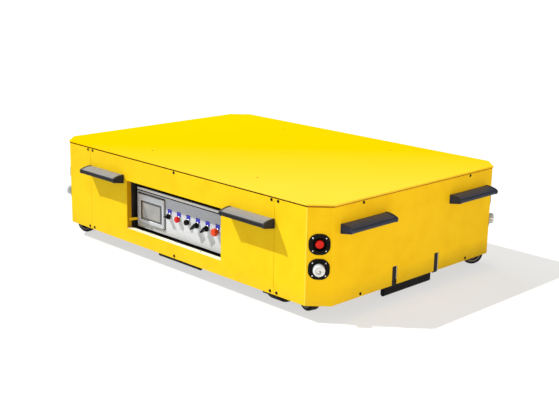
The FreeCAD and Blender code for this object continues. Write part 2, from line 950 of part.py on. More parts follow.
def make_collar():
    body = new_body("collar_master")
    bore = size.stem_radius + size.running_gap
    outer = size.collar_radius
    top = size.collar_height
    edge = size.collar_edge
    add_revolution(body, "collar_ring", [
        (bore, as_size(0)), (outer, as_size(0)), (outer, top - edge), (outer - edge, top), (bore, top)])
    return body


def make_push_button(name, radius):
    body = new_body(name + "_master")
    start = size.collar_height + size.button_gap
    add_stem(body, start)
    add_disc(body, "cap", radius, start, size.button_height)
    round_front(body, "dome", size.button_dome, start + size.button_height)
    return body


def make_selector(name, length, width, height):
    """A turning lever on a round disc; the lever points along local +X."""
    body = new_body(name + "_master")
    start = size.collar_height + size.selector_gap
    add_stem(body, start)
    add_disc(body, "disc", size.selector_disc_radius, start, size.selector_disc_height)
    top = start + size.selector_disc_height
    lever = new_sketch(body, "lever_outline", "XY_Plane", top)
    tail = size.selector_disc_radius
    half = width / 2
    tip = half * size.lever_taper
    draw_outline(lever, [
        (-tail, -half), (length - tail, -tip), (length - tail, tip), (-tail, half)])
    add_pad(body, "lever", lever, height)
    return body


def make_panel_stop():
    body = new_body("panel_stop_master")
    start = size.collar_height + size.stop_neck
    add_stem(body, start)
    add_disc(body, "head", size.stop_head_radius, start, size.stop_head_height)
    round_front(body, "dome", size.stop_head_rim, start + size.stop_head_height)
    return body


def make_panel_controls():
    """Collars on the panel and the six pieces that move in them."""
    collar = make_collar()
    collars = []
    for number in CONTROL_NUMBERS:
        name = "collar_%d" % (number + 1)
        place = (control_x(number), -panel_front, size.control_height)
        collars.append(copy_of(collar, name, *place, rotation=facing(CONTROL_YAW)))
    key = make_selector(
        "key", size.key_handle_length, size.key_handle_width, size.key_handle_height)
    lever = make_selector(
        "selector", size.selector_handle_length, size.selector_handle_width,
        size.selector_handle_height)
    red = make_push_button("red_button", size.red_button_radius)
    black = make_push_button("black_button", size.black_button_radius)
    stop = make_panel_stop()
    lever_turn = Rotation(Vector(0, 0, 1), size.selector_turn.value)
    key_turn = Rotation(Vector(0, 0, 1), size.key_turn.value)
    fitted = (
        ("key_selector", key, key_turn),
        ("red_push_button", red, Rotation()),
        ("black_push_button", black, Rotation()),
        ("mode_selector", lever, lever_turn),
        ("direction_selector", lever, lever_turn),
        ("panel_stop_button", stop, Rotation()),
    )
    nodes = [group_of("switch_collars", collars)]
    for number, (label, master, turn) in enumerate(fitted):
        place = (control_x(number), -panel_front, size.control_height)
        nodes.append(copy_of(master, label, *place, rotation=facing(CONTROL_YAW) * turn))
    return nodes


# Cut corners: emergency stops and lamps


def start_bezel(name, start=0):
    """A rounded square flange that lies on the cut corner's face."""
    body = new_body(name)
    sketch = new_sketch(body, "bezel_outline", "XY_Plane", start)
    draw_centred(sketch, size.bezel_size, size.bezel_size)
    add_pad(body, "bezel_flange", sketch, size.bezel_depth)
    front = start + size.bezel_depth

    def is_corner(middle, edge):
        return is_upright(edge)

    def is_front_rim(middle, edge):
        return near(middle.z, front)

    dress_edges(body, "Fillet", "bezel_corners", size.bezel_corner, is_corner)
    dress_edges(body, "Chamfer", "bezel_rim", size.bezel_edge, is_front_rim)
    return body


def make_stop_bezel():
    """Flange with a cup behind the sheet; local z = 0 is the back of the cup."""
    body = start_bezel("stop_bezel_master", size.stop_cup_depth)
    add_disc(body, "cup", size.stop_cup_radius, 0, size.stop_cup_depth)
    recess = new_sketch(body, "recess_outline", "XY_Plane", size.stop_recess_floor)
    draw_circle(recess, size.stop_recess_radius)
    add_pocket(body, "head_recess", recess, size.stop_cup_depth + size.bezel_depth)
    bore = new_sketch(body, "bore_outline", "XY_Plane", -size.stop_recess_floor)
    draw_circle(bore, size.stem_radius + size.running_gap)
    add_pocket(body, "stem_bore", bore, size.stop_cup_depth)
    return body


def make_corner_stop():
    body = new_body("corner_stop_master")
    start = size.stop_recess_floor + size.corner_head_gap
    add_stem(body, start)
    add_disc(body, "head", size.corner_head_radius, start, size.corner_head_height)
    round_front(body, "dome", size.corner_head_dome, start + size.corner_head_height)
    return body


def make_lamp_bezel():
    body = start_bezel("lamp_bezel_master")
    add_disc(body, "ring", size.lamp_ring_radius, size.lamp_socket_floor,
             size.bezel_depth + size.lamp_ring_height - size.lamp_socket_floor)
    socket = new_sketch(body, "socket_outline", "XY_Plane", size.lamp_socket_floor)
    draw_circle(socket, size.lamp_radius + size.lamp_socket_gap)
    add_pocket(body, "lamp_socket", socket, size.bezel_depth * 2)
    return body


def make_lamp_lens():
    body = new_body("lamp_lens_master")
    height = size.lamp_reach - size.lamp_socket_floor
    add_disc(body, "lens", size.lamp_radius, size.lamp_socket_floor, height)
    round_front(body, "dome", size.lamp_dome, size.lamp_reach)
    return body


def make_corner_units():
    """Bezels, lamps and emergency stops of the four cut corners."""
    stop_bezel = make_stop_bezel()
    lamp_bezel = make_lamp_bezel()
    lens = make_lamp_lens()
    button = make_corner_stop()
    cup_inset = size.stop_cup_depth / ROOT_TWO
    bezels = []
    lenses = []
    nodes = []
    for name, sign_x, sign_y, yaw in CORNERS:
        place = (corner_x * sign_x, corner_y * sign_y)
        cup_place = ((corner_x - cup_inset) * sign_x, (corner_y - cup_inset) * sign_y, size.stop_height)
        turn = facing(yaw)
        bezels.append(copy_of(stop_bezel, "stop_bezel_" + name, *cup_place, turn))
        bezels.append(copy_of(lamp_bezel, "lamp_bezel_" + name, *place, size.lamp_height, turn))
        lenses.append(copy_of(lens, "lamp_lens_" + name, *place, size.lamp_height, turn))
        nodes.append(copy_of(button, "corner_stop_" + name, *cup_place, turn))
    nodes.append(group_of("corner_bezels", bezels))
    nodes.append(group_of("lamp_lenses", lenses))
    return nodes


# Obstacle sensor bars


def draw_hood(sketch, rim, nose_radius, back=0):
    """The hood's section grown by rim: flat back, curved top, round nose, underside that slopes up to it."""
    rim = as_size(rim)
    points = [
        (-rim, as_size(back)),
        (size.sensor_back + rim, as_size(back)),
        (size.sensor_nose_top + rim / 2, size.sensor_reach + rim),
        (size.sensor_nose_foot - rim / 2, size.sensor_reach + rim),
    ]
    draw_outline(sketch, points, {1: size.sensor_top_radius + rim, 2: nose_radius})


def make_sensor_piece(name, start, length, rim):
    """A length of the hood along local X."""
    body = new_body(name)
    sketch = new_sketch(body, name + "_profile", "YZ_Plane", start)
    draw_hood(sketch, rim, size.sensor_nose_radius + rim)
    add_pad(body, name + "_body", sketch, length)
    return body


def make_sensor_cap(name, start, recess_start):
    """An end cap, a little larger than the hood, with a sunk field in its outer face."""
    body = make_sensor_piece(name, start, size.sensor_cap_length, size.sensor_cap_rim)
    field = new_sketch(body, name + "_field", "YZ_Plane", recess_start)
    draw_hood(field, -size.cap_field_inset, size.sensor_nose_radius, size.cap_field_inset)
    add_pocket(body, name + "_recess", field, size.cap_field_depth)
    return body


def make_sensor_bar(name, length):
    """Hood and both end caps of a bar, centred on local X."""
    half = length / 2
    cap_length = size.sensor_cap_length
    hood = make_sensor_piece(name + "_hood", -half, length, 0)
    near_cap = make_sensor_cap(name + "_near_cap", half, half + cap_length - size.cap_field_depth)
    far_cap = make_sensor_cap(name + "_far_cap", -half - cap_length, -half - cap_length)
    return hood, near_cap, far_cap


def make_obstacle_sensors():
    """Two bars on each side and each end."""
    side_bar = make_sensor_bar("side_bar", size.side_sensor_length)
    end_bar = make_sensor_bar("end_bar", size.end_sensor_length)
    side_x = size.side_sensor_spacing / 2
    end_y = size.end_sensor_spacing / 2
    places = []
    for sign in (-1, 1):
        places.append((side_bar, side_x * sign, -skirt_y, size.side_sensor_bottom, CONTROL_YAW))
        places.append((side_bar, side_x * sign, skirt_y, size.side_sensor_bottom, PLAIN_YAW))
        places.append((end_bar, skirt_x, end_y * sign, size.end_sensor_bottom, FRONT_YAW))
        places.append((end_bar, -skirt_x, end_y * sign, size.end_sensor_bottom, REAR_YAW))
    hoods = []
    caps = []
    for number, (bar, x, y, z, yaw) in enumerate(places, start=1):
        hood, near_cap, far_cap = bar
        turn = facing(yaw)
        hoods.append(copy_of(hood, "hood_%d" % number, x, y, z, turn))
        caps.append(copy_of(near_cap, "near_cap_%d" % number, x, y, z, turn))
        caps.append(copy_of(far_cap, "far_cap_%d" % number, x, y, z, turn))
    return [group_of("obstacle_sensor_housings", hoods), group_of("obstacle_sensor_end_caps", caps)]


# Floor guide sensors


def make_guide_bar(name, length, height):
    """A bar along local X that hangs below z = 0, its lower edges cut."""
    body = new_body(name)
    sketch = new_sketch(body, name + "_section", "YZ_Plane", -(length / 2))
    half = size.guide_thickness / 2
    edge = size.guide_edge
    draw_outline(sketch, [
        (edge - half, -height), (half - edge, -height), (half, edge - height),
        (half, as_size(0)), (-half, as_size(0)), (-half, edge - height)])
    add_pad(body, name + "_body", sketch, length)
    return body


def make_guide_arm(name, start, drop_from, reach, leg, drop_to):
    """An arm, level from start to reach along local X, then down to drop_to with a leg of that depth."""
    body = new_body(name)
    sketch = new_sketch(body, name + "_outline", "XZ_Plane", -(size.guide_arm_width / 2))
    thick = size.guide_arm_thickness
    draw_outline(sketch, [
        (start, drop_from - thick), (reach - leg, drop_from - thick), (reach - leg, drop_to),
        (reach, drop_to), (reach, drop_from), (start, drop_from)])
    add_pad(body, name + "_body", sketch, size.guide_arm_width)
    return body


def make_guide_sensors():
    """Bars at both ends and both sides, each on two arms."""
    quarter = Rotation(Vector(0, 0, 1), 90)
    half_thick = size.guide_thickness / 2
    end_top = size.end_guide_bottom + size.guide_height
    end_face = inner_x - size.end_guide_setback + size.skirt_sheet
    end_bar = make_guide_bar("end_guide_bar", size.guide_length, size.guide_height)
    bars = mirrored_copies(end_bar, "end_guide", end_face - half_thick, 0, end_top, quarter)
    side_top = size.side_guide_bottom + size.side_guide_height
    side_face = skirt_y - size.side_guide_setback
    side_bar = make_guide_bar("side_guide_bar", size.side_guide_length, size.side_guide_height)
    bars += mirrored_copies(side_bar, "side_guide", 0, side_face - half_thick, side_top)

    arms = []
    arm_reach = inner_x - size.guide_arm_gap
    arm_top = size.lower_rail_bottom + size.lower_rail_height / 2
    end_arm = make_guide_arm(
        "end_guide_arm", size.upper_rail_reach, arm_top, arm_reach, size.guide_arm_leg, end_top)
    for sign in (1, -1):
        turn = Rotation() if sign > 0 else HALF_TURN
        for side in (-1, 1):
            name = "end_arm_%d" % (len(arms) + 1)
            arms.append(copy_of(end_arm, name, 0, size.slot_spacing / 2 * side, 0, turn))
    side_start = size.lower_rail_spacing / 2 - size.lower_rail_width / 2
    side_reach = side_face - (size.guide_thickness - size.guide_arm_thickness) / 2
    level = size.lower_rail_bottom - size.guide_arm_drop
    side_arm = make_guide_arm(
        "side_guide_arm", side_start, level, side_reach, size.guide_arm_thickness, side_top)
    hanger = new_sketch(side_arm, "hanger_outline", "XZ_Plane", -(size.guide_arm_width / 2))
    draw_rectangle(hanger, side_start, level, side_start + size.guide_arm_drop, size.lower_rail_bottom)
    add_pad(side_arm, "hanger", hanger, size.guide_arm_width)
    arm_spacing = size.side_guide_length - size.guide_arm_width * 2
    for sign in (1, -1):
        turn = Rotation(Vector(0, 0, 1), 90 * sign)
        for side in (-1, 1):
            name = "side_arm_%d" % (len(arms) + 1)
            arms.append(copy_of(side_arm, name, arm_spacing / 2 * side, 0, 0, turn))
    return [group_of("guide_sensors", bars), group_of("guide_sensor_arms", arms)]


# Battery


def make_battery_tray():
    body = new_body("battery_tray")
    length = size.battery_length + size.tray_gap * 2
    width = size.battery_width + size.tray_gap * 2
    sketch = new_sketch(body, "tray_outline", "XY_Plane", lower_rail_top)
    draw_centred(sketch, length + size.tray_sheet * 2, width + size.tray_sheet * 2)
    add_pad(body, "tray_block", sketch, size.tray_wall)
    hollow = new_sketch(body, "tray_hollow", "XY_Plane", lower_rail_top + size.tray_sheet)
    draw_centred(hollow, length, width)
    add_pocket(body, "tray_room", hollow, size.tray_wall)
    return body


def make_battery_pack():
    body = new_body("battery_pack")
    floor = lower_rail_top + size.tray_sheet
    sketch = new_sketch(body, "case_outline", "XY_Plane", floor)
    draw_centred(sketch, size.battery_length, size.battery_width)
    add_pad(body, "case_block", sketch, size.battery_height - size.battery_lid)

    def is_case_corner(middle, edge):
        return is_upright(edge)

    dress_edges(body, "Fillet", "case_corners", size.battery_edge, is_case_corner)
    lid_start = floor + size.battery_height - size.battery_lid
    lid = new_sketch(body, "lid_outline", "XY_Plane", lid_start)
    step = size.battery_lid_step * 2
    draw_centred(lid, size.battery_length - step, size.battery_width - step)
    add_pad(body, "lid", lid, size.battery_lid)
    return body


# Casters


def make_caster_plate():
    """Fixed top plate with its bearing race and king pin, hung from z = 0."""
    body = new_body("caster_plate_master")
    thick = size.caster_plate_thickness
    sketch = new_sketch(body, "plate_outline", "XY_Plane", -thick)
    draw_centred(sketch, size.caster_plate_length, size.caster_plate_width)
    add_pad(body, "plate", sketch, thick)

    def is_plate_corner(middle, edge):
        return is_upright(edge)

    dress_edges(body, "Fillet", "plate_corners", size.caster_plate_corner, is_plate_corner)
    add_disc(body, "race", size.caster_race_radius, -thick - size.caster_race_height,
             size.caster_race_height)
    pin_length = size.caster_race_gap + size.caster_crown_height
    pin_start = -thick - size.caster_race_height - pin_length
    add_disc(body, "king_pin", size.king_pin_radius, pin_start, pin_length)
    return body


def make_caster_fork():
    """Crown round the king pin and two legs; the wheel trails along local -X."""
    body = new_body("caster_fork_master")
    crown_top = (size.lower_rail_bottom - size.caster_plate_thickness - size.caster_race_height
                 - size.caster_race_gap)
    crown_bottom = crown_top - size.caster_crown_height
    crown = new_sketch(body, "crown_section", "XY_Plane", crown_bottom)
    draw_circle(crown, size.caster_crown_radius)
    draw_circle(crown, size.king_pin_radius + size.running_gap)
    add_pad(body, "crown", crown, size.caster_crown_height)
    axle_z = size.caster_wheel_radius
    trail = size.caster_trail
    around = size.caster_leg_round
    leg_inside = size.caster_hub_width / 2 + size.caster_leg_gap
    leg_top = crown_bottom + size.caster_crown_height / 2
    for name, start in (("right_leg", leg_inside), ("left_leg", -leg_inside - size.caster_leg_thickness)):
        leg = new_sketch(body, name + "_outline", "XZ_Plane", start)
        draw_outline(leg, [
            (-trail - around, axle_z), (around - trail, axle_z), (size.caster_leg_front, leg_top),
            (-size.caster_leg_back, leg_top)], {0: around * HALF_ROUND})
        draw_circle(leg, size.caster_axle_radius, -trail, axle_z)
        add_pad(body, name, leg, size.caster_leg_thickness)
    return body


def make_caster_axle():
    """Bolt along local Z with its head and nut outside the fork's legs."""
    body = new_body("caster_axle_master")
    reach = size.caster_hub_width / 2 + size.caster_leg_gap + size.caster_leg_thickness
    shank = new_sketch(body, "shank_section", "XY_Plane", -reach)
    draw_circle(shank, size.caster_axle_radius - size.running_gap)
    add_pad(body, "shank", shank, reach * 2)
    for name, start in (("head", reach), ("nut", -reach - size.axle_head_height)):
        sketch = new_sketch(body, name + "_outline", "XY_Plane", start)
        draw_hexagon(sketch, size.axle_head_width)
        add_pad(body, name, sketch, size.axle_head_height)
    return body


def make_caster_wheel():
    """Moulded core: hub, web and rim, about local Z."""
    body = new_body("caster_wheel_master")
    bore = size.caster_axle_radius
    hub = size.caster_hub_radius
    half_hub = size.caster_hub_width / 2
    half_web = size.caster_web_width / 2
    half_rim = size.caster_tyre_width / 2
    rim = size.caster_rim_inner
    outer = size.caster_core_radius
    add_revolution(body, "core", [
        (bore, -half_hub), (hub, -half_hub), (hub, -half_web), (rim, -half_web), (rim, -half_rim),
        (outer, -half_rim), (outer, half_rim), (rim, half_rim), (rim, half_web), (hub, half_web),
        (hub, half_hub), (bore, half_hub)])
    return body


def make_tyre(name, inner, outer, width, around):
    """A tread ring with rounded shoulders, about local Z."""
    body = new_body(name)
    half = width / 2
    add_revolution(body, "tread", [
        (inner, -half), (outer - around, -half), (outer, around - half), (outer, half - around),
        (outer - around, half), (inner, half)], {1: around, 3: around})
    return body


def make_casters():
    plate = make_caster_plate()
    fork = make_caster_fork()
    axle = make_caster_axle()
    wheel = make_caster_wheel()
    tyre = make_tyre("caster_tyre_master", size.caster_core_radius, size.caster_wheel_radius,
                     size.caster_tyre_width, size.caster_tyre_round)
    plates = []
    nodes = []
    for name, sign_x, sign_y, _ in CORNERS:
        x = caster_x * sign_x
        y = caster_y * sign_y
        trail_angle = getattr(size, "swivel_" + name).value
        plates.append(copy_of(plate, "caster_plate_" + name, x, y, size.lower_rail_bottom))
        fork_turn = Rotation(Vector(0, 0, 1), trail_angle + 180)
        nodes.append(copy_of(fork, "caster_fork_" + name, x, y, 0, fork_turn))
        wheel_x = x + size.caster_trail * math.cos(math.radians(trail_angle))
        wheel_y = y + size.caster_trail * math.sin(math.radians(trail_angle))
        across = facing(trail_angle + 90)
        place = (wheel_x, wheel_y, size.caster_wheel_radius, across)
        nodes.append(copy_of(axle, "caster_axle_" + name, *place))
        nodes.append(copy_of(wheel, "caster_wheel_" + name, *place))
        nodes.append(copy_of(tyre, "caster_tyre_" + name, *place))
    nodes.append(group_of("caster_top_plates", plates))
    return nodes


# Steered drive units, each about its own steering axis


def make_drive_mount_plate():
    """Plate across two arms of the frame, with the bore that the steering neck turns in."""
    body = new_body("mount_plate_master")
    left = size.drive_arm_reach - size.drive_arm_width / 2 - size.drive_x
    right = caster_x + size.caster_arm_width / 2 - size.drive_x
    low = size.drive_y - size.mount_plate_outer
    high = size.drive_y - size.mount_plate_inner
    sketch = new_sketch(body, "plate_outline", "XY_Plane", lower_rail_top)
    draw_rectangle(sketch, left, low, right, high)
    add_pad(body, "plate", sketch, size.mount_plate_thickness)

    def is_plate_corner(middle, edge):
        return is_upright(edge)

    dress_edges(body, "Fillet", "plate_corners", size.mount_plate_corner, is_plate_corner)
    plate_top = lower_rail_top + size.mount_plate_thickness
    add_disc(body, "collar", size.mount_collar_radius, plate_top, size.mount_collar_height)
    bore = new_sketch(body, "bore_outline", "XY_Plane", lower_rail_top - size.mount_collar_height)
    draw_circle(bore, size.neck_radius + size.running_gap)
    add_pocket(body, "neck_bore", bore, size.mount_plate_thickness + size.mount_collar_height * 3)
    return body


def make_gear_case():
    """Casting beside the wheel, with the turntable and the neck above it."""
    body = new_body("gear_case_master")
    column = new_sketch(body, "column_outline", "YZ_Plane", -size.case_outer)
    half = size.case_width / 2
    draw_rectangle(column, -half, size.case_bottom, half, size.table_bottom)
    add_pad(body, "column", column, size.case_outer - size.case_inner)

    def is_outer_corner(middle, edge):
        return is_upright(edge) and near(middle.x, -size.case_outer)

    def is_lower_corner(middle, edge):
        return near(middle.z, size.case_bottom) and near(abs(middle.y), half)

    dress_edges(body, "Fillet", "case_corners", size.case_corner, is_outer_corner)
    dress_edges(body, "Fillet", "case_foot_corners", size.case_foot_corner, is_lower_corner)
    add_disc(body, "turntable", size.table_radius, size.table_bottom, size.table_thickness)
    table_top = size.table_bottom + size.table_thickness
    add_disc(body, "neck", size.neck_radius, table_top, size.neck_top - table_top)
    bore = new_sketch(body, "bore_outline", "YZ_Plane", -size.case_inner - size.output_shaft_depth)
    draw_circle(bore, size.output_shaft_radius + size.running_gap, 0, size.drive_wheel_radius)
    add_pocket(body, "shaft_bore", bore, size.output_shaft_depth * 2)
    return body


def make_drive_wheel():
    """Hub, web and rim about local Z, with the output shaft that runs in the gear case."""
    body = new_body("drive_wheel_master")
    half_rim = size.drive_rim_width / 2
    half_web = size.drive_web_width / 2
    shaft_end = size.shaft_end_gap - size.case_inner - size.output_shaft_depth
    flange = size.wheel_flange_gap - size.case_inner
    zero = as_size(0)
    add_revolution(body, "core", [
        (zero, shaft_end), (size.output_shaft_radius, shaft_end), (size.output_shaft_radius, flange),
        (size.drive_hub_radius, flange), (size.drive_hub_radius, -half_web),
        (size.drive_rim_inner, -half_web), (size.drive_rim_inner, -half_rim),
        (size.drive_core_radius, -half_rim), (size.drive_core_radius, half_rim),
        (size.drive_rim_inner, half_rim), (size.drive_rim_inner, half_web),
        (size.drive_hub_radius, half_web), (size.drive_hub_radius, half_rim), (zero, half_rim)])
    return body


def make_gear(name, teeth, root_half, tip_half, bottom, thickness, bore=None, phase=0):
    """A spur gear about local Z with straight-flanked teeth; phase turns the first tooth."""
    body = new_body(name)
    pitch_radius = size.gear_module * teeth / 2
    root = pitch_radius - size.gear_module * size.tooth_depth_in_modules
    tip = pitch_radius + size.gear_module
    blank = new_sketch(body, name + "_blank", "XY_Plane", bottom)
    draw_circle(blank, root)
    if bore is not None:
        draw_circle(blank, bore)
    add_pad(body, "blank", blank, thickness)
    turn = Placement(Vector(), Rotation(Vector(0, 0, 1), phase))
    tooth = new_sketch(body, name + "_tooth", "XY_Plane", bottom, turn)
    sunk = root - size.gear_module / 4
    draw_outline(tooth, [
        (sunk, -root_half), (root, -root_half), (tip, -tip_half), (tip, tip_half), (root, root_half),
        (sunk, root_half)])
    first = add_pad(body, "tooth", tooth, thickness)
    add_polar_pattern(body, "teeth", first, teeth)
    return body


def make_pinion():
    body = make_gear("pinion_master", size.pinion_teeth, size.pinion_root_half, size.pinion_tip_half,
                     size.gear_bottom, size.gear_thickness, phase=180 / size.pinion_teeth.value)
    gear_top = size.gear_bottom + size.gear_thickness
    add_disc(body, "shaft", size.pinion_shaft_radius, gear_top, size.pinion_shaft_length)
    return body


def make_steer_motor():
    """Geared motor on a bracket that stands beside the pinion, about the pinion's axis."""
    body = new_body("steer_motor_master")
    plate_top = lower_rail_top + size.mount_plate_thickness
    seat = size.gear_bottom + size.gear_thickness + size.motor_bracket_gap
    reach = size.motor_bracket_reach
    half = size.motor_bracket_width / 2
    wall = new_sketch(body, "wall_outline", "XY_Plane", plate_top)
    draw_rectangle(wall, -reach, -half, size.motor_bracket_plate - reach, half)
    add_pad(body, "wall", wall, seat - plate_top)
    shelf = new_sketch(body, "shelf_outline", "XY_Plane", seat)
    draw_rectangle(shelf, -reach, -half, size.steer_motor_radius, half)
    add_pad(body, "shelf", shelf, size.motor_bracket_plate)
    motor_start = seat + size.motor_bracket_plate
    add_disc(body, "motor", size.steer_motor_radius, motor_start, size.steer_motor_height)
    round_front(body, "motor_rim", size.steer_motor_edge, motor_start + size.steer_motor_height)
    bore = new_sketch(body, "bore_outline", "XY_Plane", seat - size.motor_bracket_gap)
    draw_circle(bore, size.pinion_shaft_radius + size.running_gap)
    add_pocket(body, "shaft_bore", bore, size.pinion_shaft_length + size.shaft_end_gap)
    return body


def make_traction_motor():
    """Upright motor with cooling fins on the steering neck."""
    body = new_body("traction_motor_master")
    add_disc(body, "foot", size.traction_foot_radius, size.neck_top, size.traction_foot_height)
    start = size.neck_top + size.traction_foot_height
    barrel = size.traction_radius - size.fin_depth
    add_disc(body, "motor", barrel, start, size.traction_height)
    round_front(body, "motor_rim", size.traction_edge, start + size.traction_height)
    fin_outline = new_sketch(body, "fin_outline", "XY_Plane", start)
    half = size.fin_width / 2
    draw_rectangle(fin_outline, barrel - half, -half, size.traction_radius, half)
    fin = add_pad(body, "fin", fin_outline, size.traction_height - size.traction_edge * 2)
    add_polar_pattern(body, "fins", fin, size.fin_count)
    return body


def make_drive_units():
    """Two units, on opposite corners of the vehicle, a half turn from each other."""
    mount = make_drive_mount_plate()
    case = make_gear_case()
    wheel = make_drive_wheel()
    tyre = make_tyre("drive_tyre_master", size.drive_core_radius, size.drive_wheel_radius,
                     size.drive_tyre_width, size.drive_tyre_round)
    ring = make_gear("ring_gear_master", size.gear_teeth, size.tooth_root_half, size.tooth_tip_half,
                     size.gear_bottom, size.gear_thickness, size.neck_radius)
    pinion = make_pinion()
    steer_motor = make_steer_motor()
    traction_motor = make_traction_motor()
    centre_distance = size.gear_module * (size.gear_teeth + size.pinion_teeth) / 2
    mounts = []
    motors = []
    nodes = []
    for name, sign, turn in (("front", 1, Rotation()), ("rear", -1, HALF_TURN)):
        x = size.drive_x * sign
        y = -size.drive_y * sign
        mounts.append(copy_of(mount, "mount_plate_" + name, x, y, 0, turn))
        nodes.append(copy_of(case, "drive_gear_case_" + name, x, y, 0, turn))
        nodes.append(copy_of(ring, "steer_ring_gear_" + name, x, y, 0, turn))
        nodes.append(copy_of(traction_motor, "traction_motor_" + name, x, y, 0, turn))
        across = facing(0 if sign > 0 else 180)
        nodes.append(copy_of(wheel, "drive_wheel_" + name, x, y, size.drive_wheel_radius, across))
        nodes.append(copy_of(tyre, "drive_tyre_" + name, x, y, size.drive_wheel_radius, across))
        pinion_x = x - centre_distance * sign
        nodes.append(copy_of(pinion, "steer_pinion_" + name, pinion_x, y, 0, turn))
        motors.append(copy_of(steer_motor, "steer_motor_" + name, pinion_x, y, 0, turn))
    nodes.append(group_of("drive_mount_plates", mounts))
    nodes.append(group_of("steer_motors", motors))
    return nodes


# The whole vehicle


def make_skirt():
    front = make_end_shell()
    rear = copy_of(front, "end_shell_rear", rotation=HALF_TURN)
    return [front, rear, make_control_side_panel(), make_plain_panel()]


def build():
    nodes = [make_deck_plate()]
    nodes += make_skirt()
    nodes.append(make_chassis_frame())
    nodes.append(make_control_box())
    nodes.append(make_control_panel())
    nodes += make_screen()
    nodes += make_panel_controls()
    nodes += make_corner_units()
    nodes += make_obstacle_sensors()
    nodes += make_guide_sensors()
    nodes.append(make_battery_tray())
    nodes.append(make_battery_pack())
    nodes += make_casters()
    nodes += make_drive_units()
    doc.recompute()
    return nodes


def check_document():
    for item in doc.Objects:
        if "Invalid" in item.State or "Error" in item.State:
            raise ValueError("%s failed: %s" % (item.Name, item.State))


def write_parts(nodes):
    os.makedirs("parts", exist_ok=True)
    for node in nodes:
        shape = Part.getShape(node)
        if shape.isNull() or not shape.isValid() or not shape.Solids:
            raise ValueError(node.Label + " has no valid solid")
        shape.exportStep(os.path.join("parts", node.Label + ".step"))


parts = build()
check_document()
write_parts(parts)
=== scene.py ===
import math

import bmesh
import bpy
from mathutils import Matrix, Vector


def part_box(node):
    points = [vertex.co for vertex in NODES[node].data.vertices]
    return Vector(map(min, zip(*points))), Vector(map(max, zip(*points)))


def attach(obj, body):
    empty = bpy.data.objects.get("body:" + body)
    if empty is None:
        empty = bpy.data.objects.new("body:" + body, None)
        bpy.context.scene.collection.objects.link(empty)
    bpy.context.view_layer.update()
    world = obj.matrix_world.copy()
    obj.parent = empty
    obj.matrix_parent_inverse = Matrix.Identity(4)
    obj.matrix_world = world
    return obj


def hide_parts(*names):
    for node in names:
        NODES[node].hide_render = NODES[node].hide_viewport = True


# Flat-deck automated guided vehicle: finishes, small fittings, light and camera.
# Metres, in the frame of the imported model: +X to the front end, -Y to the control side, +Z up.

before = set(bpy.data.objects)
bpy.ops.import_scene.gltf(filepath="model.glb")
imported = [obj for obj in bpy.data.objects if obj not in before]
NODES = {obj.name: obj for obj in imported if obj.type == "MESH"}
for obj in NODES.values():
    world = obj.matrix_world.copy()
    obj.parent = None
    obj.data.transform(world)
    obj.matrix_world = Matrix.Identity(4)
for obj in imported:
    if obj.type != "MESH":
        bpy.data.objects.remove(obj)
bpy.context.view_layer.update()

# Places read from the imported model

deck_low, deck_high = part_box("deck_plate")
shell_low, shell_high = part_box("end_shell_front")
panel_low, panel_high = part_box("control_panel")
collar_low, collar_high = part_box("switch_collars")
screen_low, screen_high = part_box("hmi_screen")
screen_frame_low, screen_frame_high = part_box("hmi_frame")
caster_plates_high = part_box("caster_top_plates")[1]

DECK_TOP = deck_high.z
BOSS_BOTTOM = deck_low.z
SKIRT_X = shell_high.x
SKIRT_Y = shell_high.y
SKIRT_TOP = shell_high.z
SKIRT_BOTTOM = shell_low.z
PANEL_FRONT = panel_low.y
PANEL_TOP = panel_high.z
PANEL_BOTTOM = panel_low.z

# Sizes that several fittings share

SKIRT_CORNER = 0.075
LAMP_HEIGHT = 0.222
LENS_RADIUS = 0.0245
BROKEN_EDGE = 0.0003
# half of the turn from a long side, or an end, to a cut corner
HALF_BEND = math.pi / 8

CONTROL_YAW = -90
PLAIN_YAW = 90
FRONT_YAW = 0
REAR_YAW = 180
# name, sign of X, sign of Y, direction that the cut corner faces
CORNERS = (
    ("front_right", 1, -1, -45),
    ("front_left", 1, 1, 45),
    ("rear_left", -1, 1, 135),
    ("rear_right", -1, -1, -135),
)
SIDES = (-1, 1)


# Node materials

SPECULAR = "Specular IOR Level"
# sockets of a Mix node that blends two colours
MIX_FACTOR = 0
MIX_COLOUR_A = 6
MIX_COLOUR_B = 7
MIX_COLOUR_OUT = 2
# windows of a value's range: most of a noise, its upper part, and the whole of a share
MIDDLE = (0.3, 0.7)
SPECKS = (0.45, 0.75)
WHOLE = (0.0, 1.0)
BEVEL_SAMPLES = 6
# cosine between the soft and the true normal, from a flat face to an edge
EDGE_COSINES = (0.995, 0.85)
# how far inside the end faces the end sensor bars may start
END_MARGIN = 0.005


